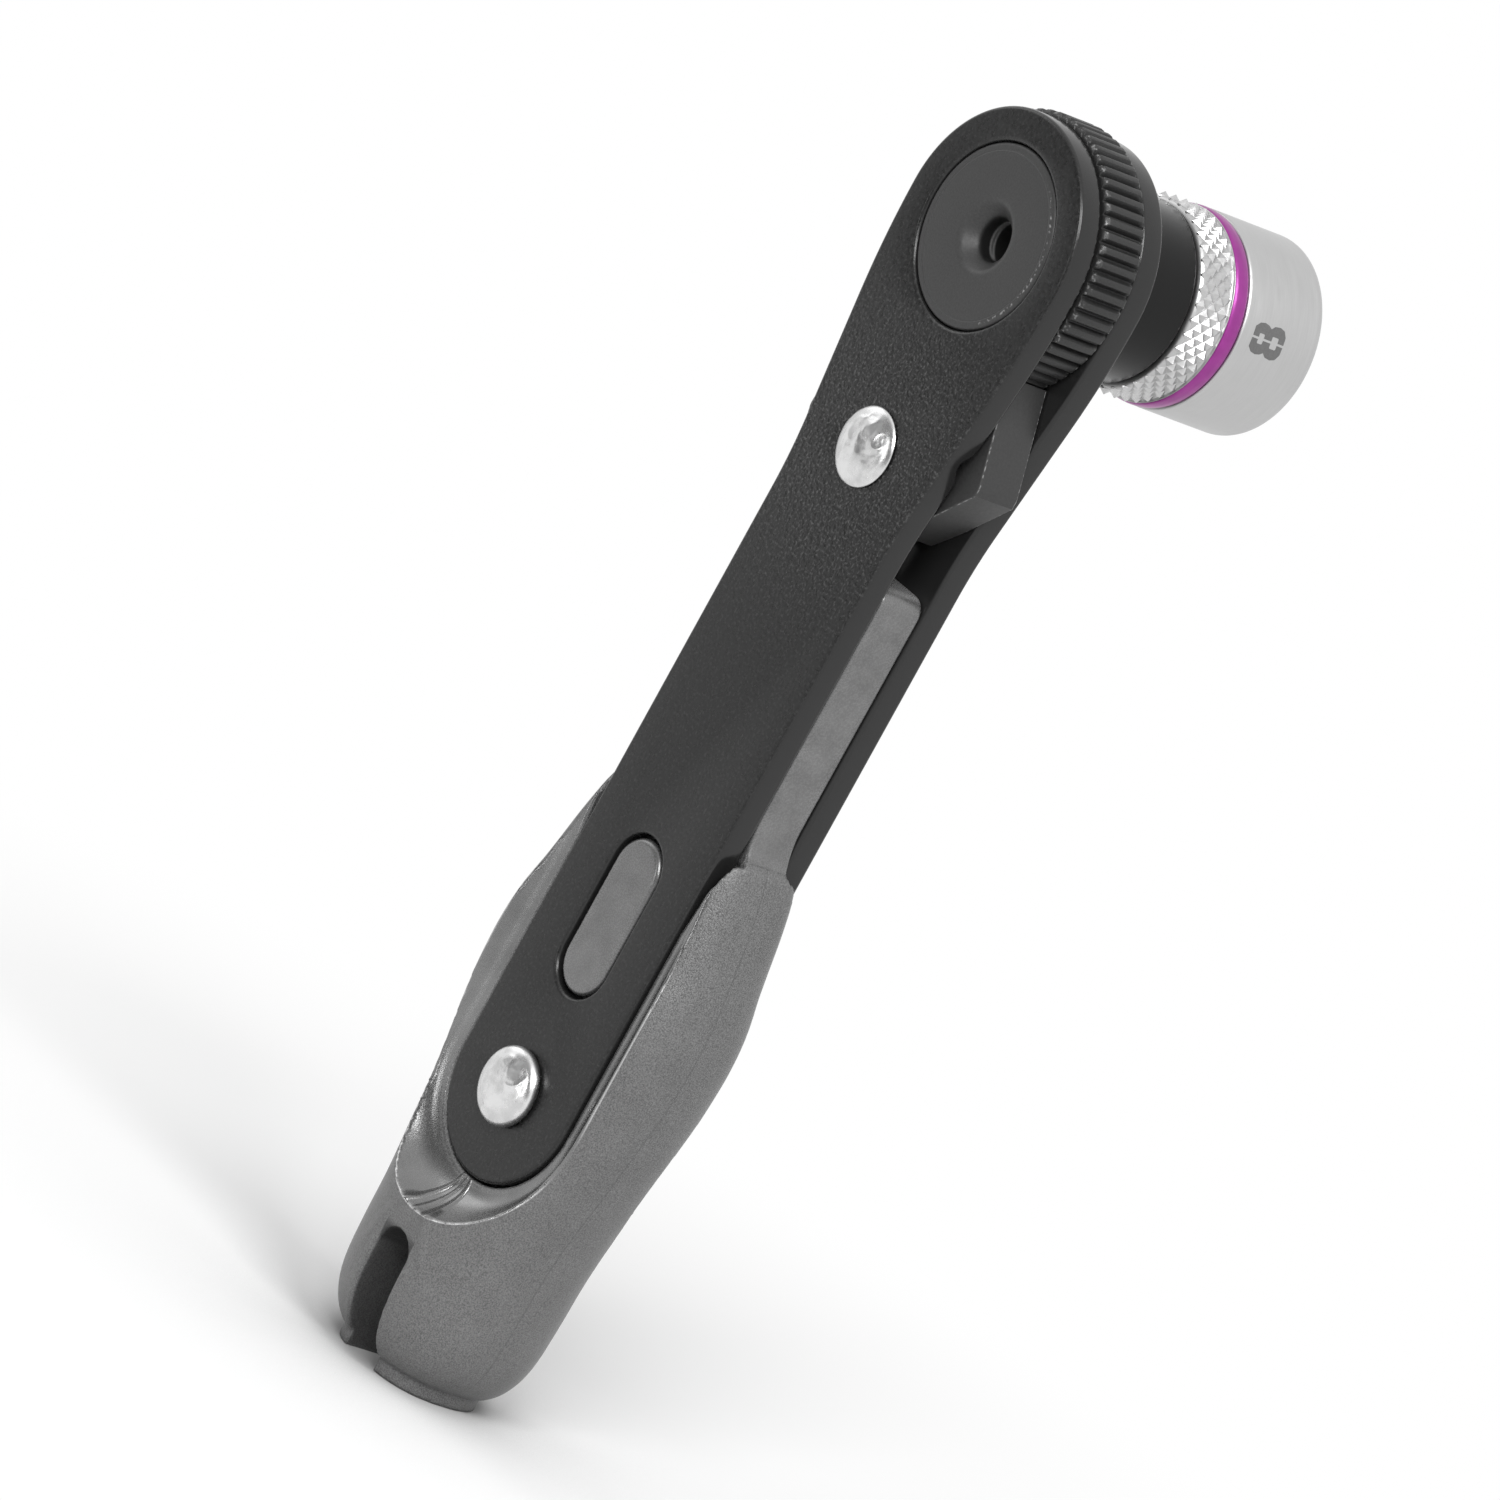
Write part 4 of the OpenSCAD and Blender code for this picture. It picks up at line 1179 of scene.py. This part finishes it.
# %% Finish the carried-over pieces
steel = Finish("drawn_steel", Metallic=1.0)
drawn = steel.grain(0.1)
steel.set("Base Color", steel.mix(drawn, grey(0.42), grey(0.62)))
steel.set("Roughness", 0.26 + drawn * 0.14)
steel.relief(drawn * 0.003)
for node in ("bit_retaining_ring", "detent_plunger"):
    kept = frame["nodes"][node].data
    kept.materials.clear()
    kept.materials.append(steel.material)
    print(node, "keeps its shape and gets drawn steel")

# %% Wind the detent spring
TURNS = 8
TURN_STEPS = 24
WIRE_R = 0.15

coil_r = (spring_high.x - spring_low.x) / 2 - WIRE_R
coil_rise = spring_high.z - spring_low.z - 2 * WIRE_R
wire = bpy.data.curves.new("detent_spring_wound", "CURVE")
wire.dimensions = "3D"
wire.bevel_depth = WIRE_R * MM
wire.bevel_resolution = 2
wire.use_fill_caps = True
coil = wire.splines.new("POLY")
coil.points.add(TURNS * TURN_STEPS)
for k, point in enumerate(coil.points):
    a = 2 * math.pi * k / TURN_STEPS
    z = spring_low.z + WIRE_R + coil_rise * k / (TURNS * TURN_STEPS)
    place = Vector((coil_r * math.cos(a), coil_r * math.sin(a), z))
    point.co = (*(place * MM), 1)
spring = put("detent_spring_wound", curve_mesh("detent_spring_wound", wire))
clean(spring, 60)
fit(spring, "frame", "spring_steel", steel, "detent_spring")

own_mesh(spring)

# %% [markdown]
# ## White paper
# The tool stands on the pad of its handle, on white paper. Near the tool the paper takes real
# light, so that it keeps the soft shadow, and its colour is darkened where an ambient occlusion
# node finds the tool close by: a painted contact shadow. Further out it glows plain white for the
# camera and for reflections, which adds no light to the tool. The paper ends in front of the tool,
# so that dark polished faces have something dark to mirror.

# %% Lay the paper
PAPER_X = 2
PAPER_FRONT = -0.265
PAPER_BACK = 2
GLOW_STARTS = 20
GLOW_FULL = 100

floor_z = cad_box[0][2]
sheet = [(-PAPER_X, PAPER_FRONT), (PAPER_X, PAPER_FRONT)]
sheet += [(PAPER_X, PAPER_BACK), (-PAPER_X, PAPER_BACK)]
floor_mesh = bpy.data.meshes.new("floor")
floor_mesh.from_pydata([(x, y, floor_z) for x, y in sheet], [], [(0, 1, 2, 3)])
floor = put("floor", floor_mesh)
print("the paper lies at z =", round(floor_z / MM, 2), "mm")


# %% Find the rays that see the backdrop
def white_for(tree):
    """Returns masks for rays that see the backdrop straight on or through glass, and mirrored."""
    ray = tree.tree.nodes.new("ShaderNodeLightPath")
    camera_ray, through, mirrored = [
        Number(tree, ray.outputs[f"Is {kind} Ray"]) for kind in ("Camera", "Transmission", "Glossy")]
    return camera_ray + through, mirrored


# %% Make the paper white
paper = Finish("white_paper", Roughness=0.9, Specular_IOR_Level=0.1)
# Painted shadow: the paper's colour darkens where the tool is close.
painted_contact_shadow = paper.node("ShaderNodeAmbientOcclusion", {"samples": 8}, {"Distance": 0.03}, 1)
paper.set("Base Color", paper.mix(painted_contact_shadow.step(0.3, 1.0), grey(0.5), grey(0.97)))
glow = paper.node("ShaderNodeEmission", None, {"Color": grey(1.0), "Strength": 1.0})
paper_seen, paper_mirrored = white_for(paper)
far = (paper.x * paper.x + paper.y * paper.y).math("SQRT").step(GLOW_STARTS, GLOW_FULL)
bare = Number(paper, paper.shader.outputs[0])
share = (paper_seen + paper_mirrored) * far
lit = paper.node("ShaderNodeMixShader", None, {0: share, 1: bare, 2: glow})
paper.feed(paper.tree.nodes["Material Output"].inputs["Surface"], lit)
floor_mesh.materials.append(paper.material)
print("the paper has", len(paper.tree.nodes), "nodes")

# %% [markdown]
# ## Studio light
# One big soft lamp stands beside the camera and one to the right, both high. A weak one on the left
# and a narrow strip in front give the metal soft edges of light. The room is white where it is
# mirrored, but dark towards the front, and its own light is a dim dome that is brighter above.

# %% Colour the room
ROOM_FRONT = (0.0, -1.0, -0.05)
ROOM_DARK = 0.75
DOME_LOW = 0.16
DOME_RISE = 0.24

world = bpy.data.worlds.new("studio")
bpy.context.scene.world = world
world.use_nodes = True
sky = Tree(world.node_tree)
sky_seen, sky_mirrored = white_for(sky)
direction = sky.node("ShaderNodeTexCoord", output="Generated")
height = sky.node("ShaderNodeSeparateXYZ", None, {0: direction}, 2)
dome = DOME_LOW + height.step(0.0, 0.8) * DOME_RISE
toward = {0: direction, 1: ROOM_FRONT}
front = sky.node("ShaderNodeVectorMath", {"operation": "DOT_PRODUCT"}, toward, 1).step(0.35, 0.8)
mirrored_light = sky_mirrored * (1 - front * ROOM_DARK)
strength = sky_seen + mirrored_light + (1 - sky_seen - sky_mirrored) * dome
backdrop = sky.tree.nodes["Background"]
sky.feed(backdrop.inputs["Color"], grey(1.0))
sky.feed(backdrop.inputs["Strength"], strength)
print("the room has", len(sky.tree.nodes), "nodes")

# %% Hang the lamps
LAMP_AIM = Vector((0, 0, -0.03))


def softbox(name, place, size, power):
    lamp = bpy.data.lights.new(name, "AREA")
    lamp.shape = "RECTANGLE"
    lamp.size = size[0]
    lamp.size_y = size[1]
    lamp.energy = power
    hung = put(name, lamp)
    hung.location = place
    hung.rotation_mode = "QUATERNION"
    hung.rotation_quaternion = (LAMP_AIM - Vector(place)).to_track_quat("-Z", "Y")
    print(name, "gives", power, "W")


softbox("camera_softbox", (0.45, -0.60, 0.58), (0.4, 0.4), 5.4)
softbox("right_softbox", (0.60, -0.14, 0.68), (0.35, 0.35), 3.9)
softbox("left_softbox", (-0.60, -0.30, 0.30), (0.4, 0.4), 0.5)
softbox("front_strip", (-0.12, -0.85, 0.02), (0.1, 0.3), 0.6)

# %% Set the plain view transform and finish
bpy.context.scene.view_settings.view_transform = "Standard"
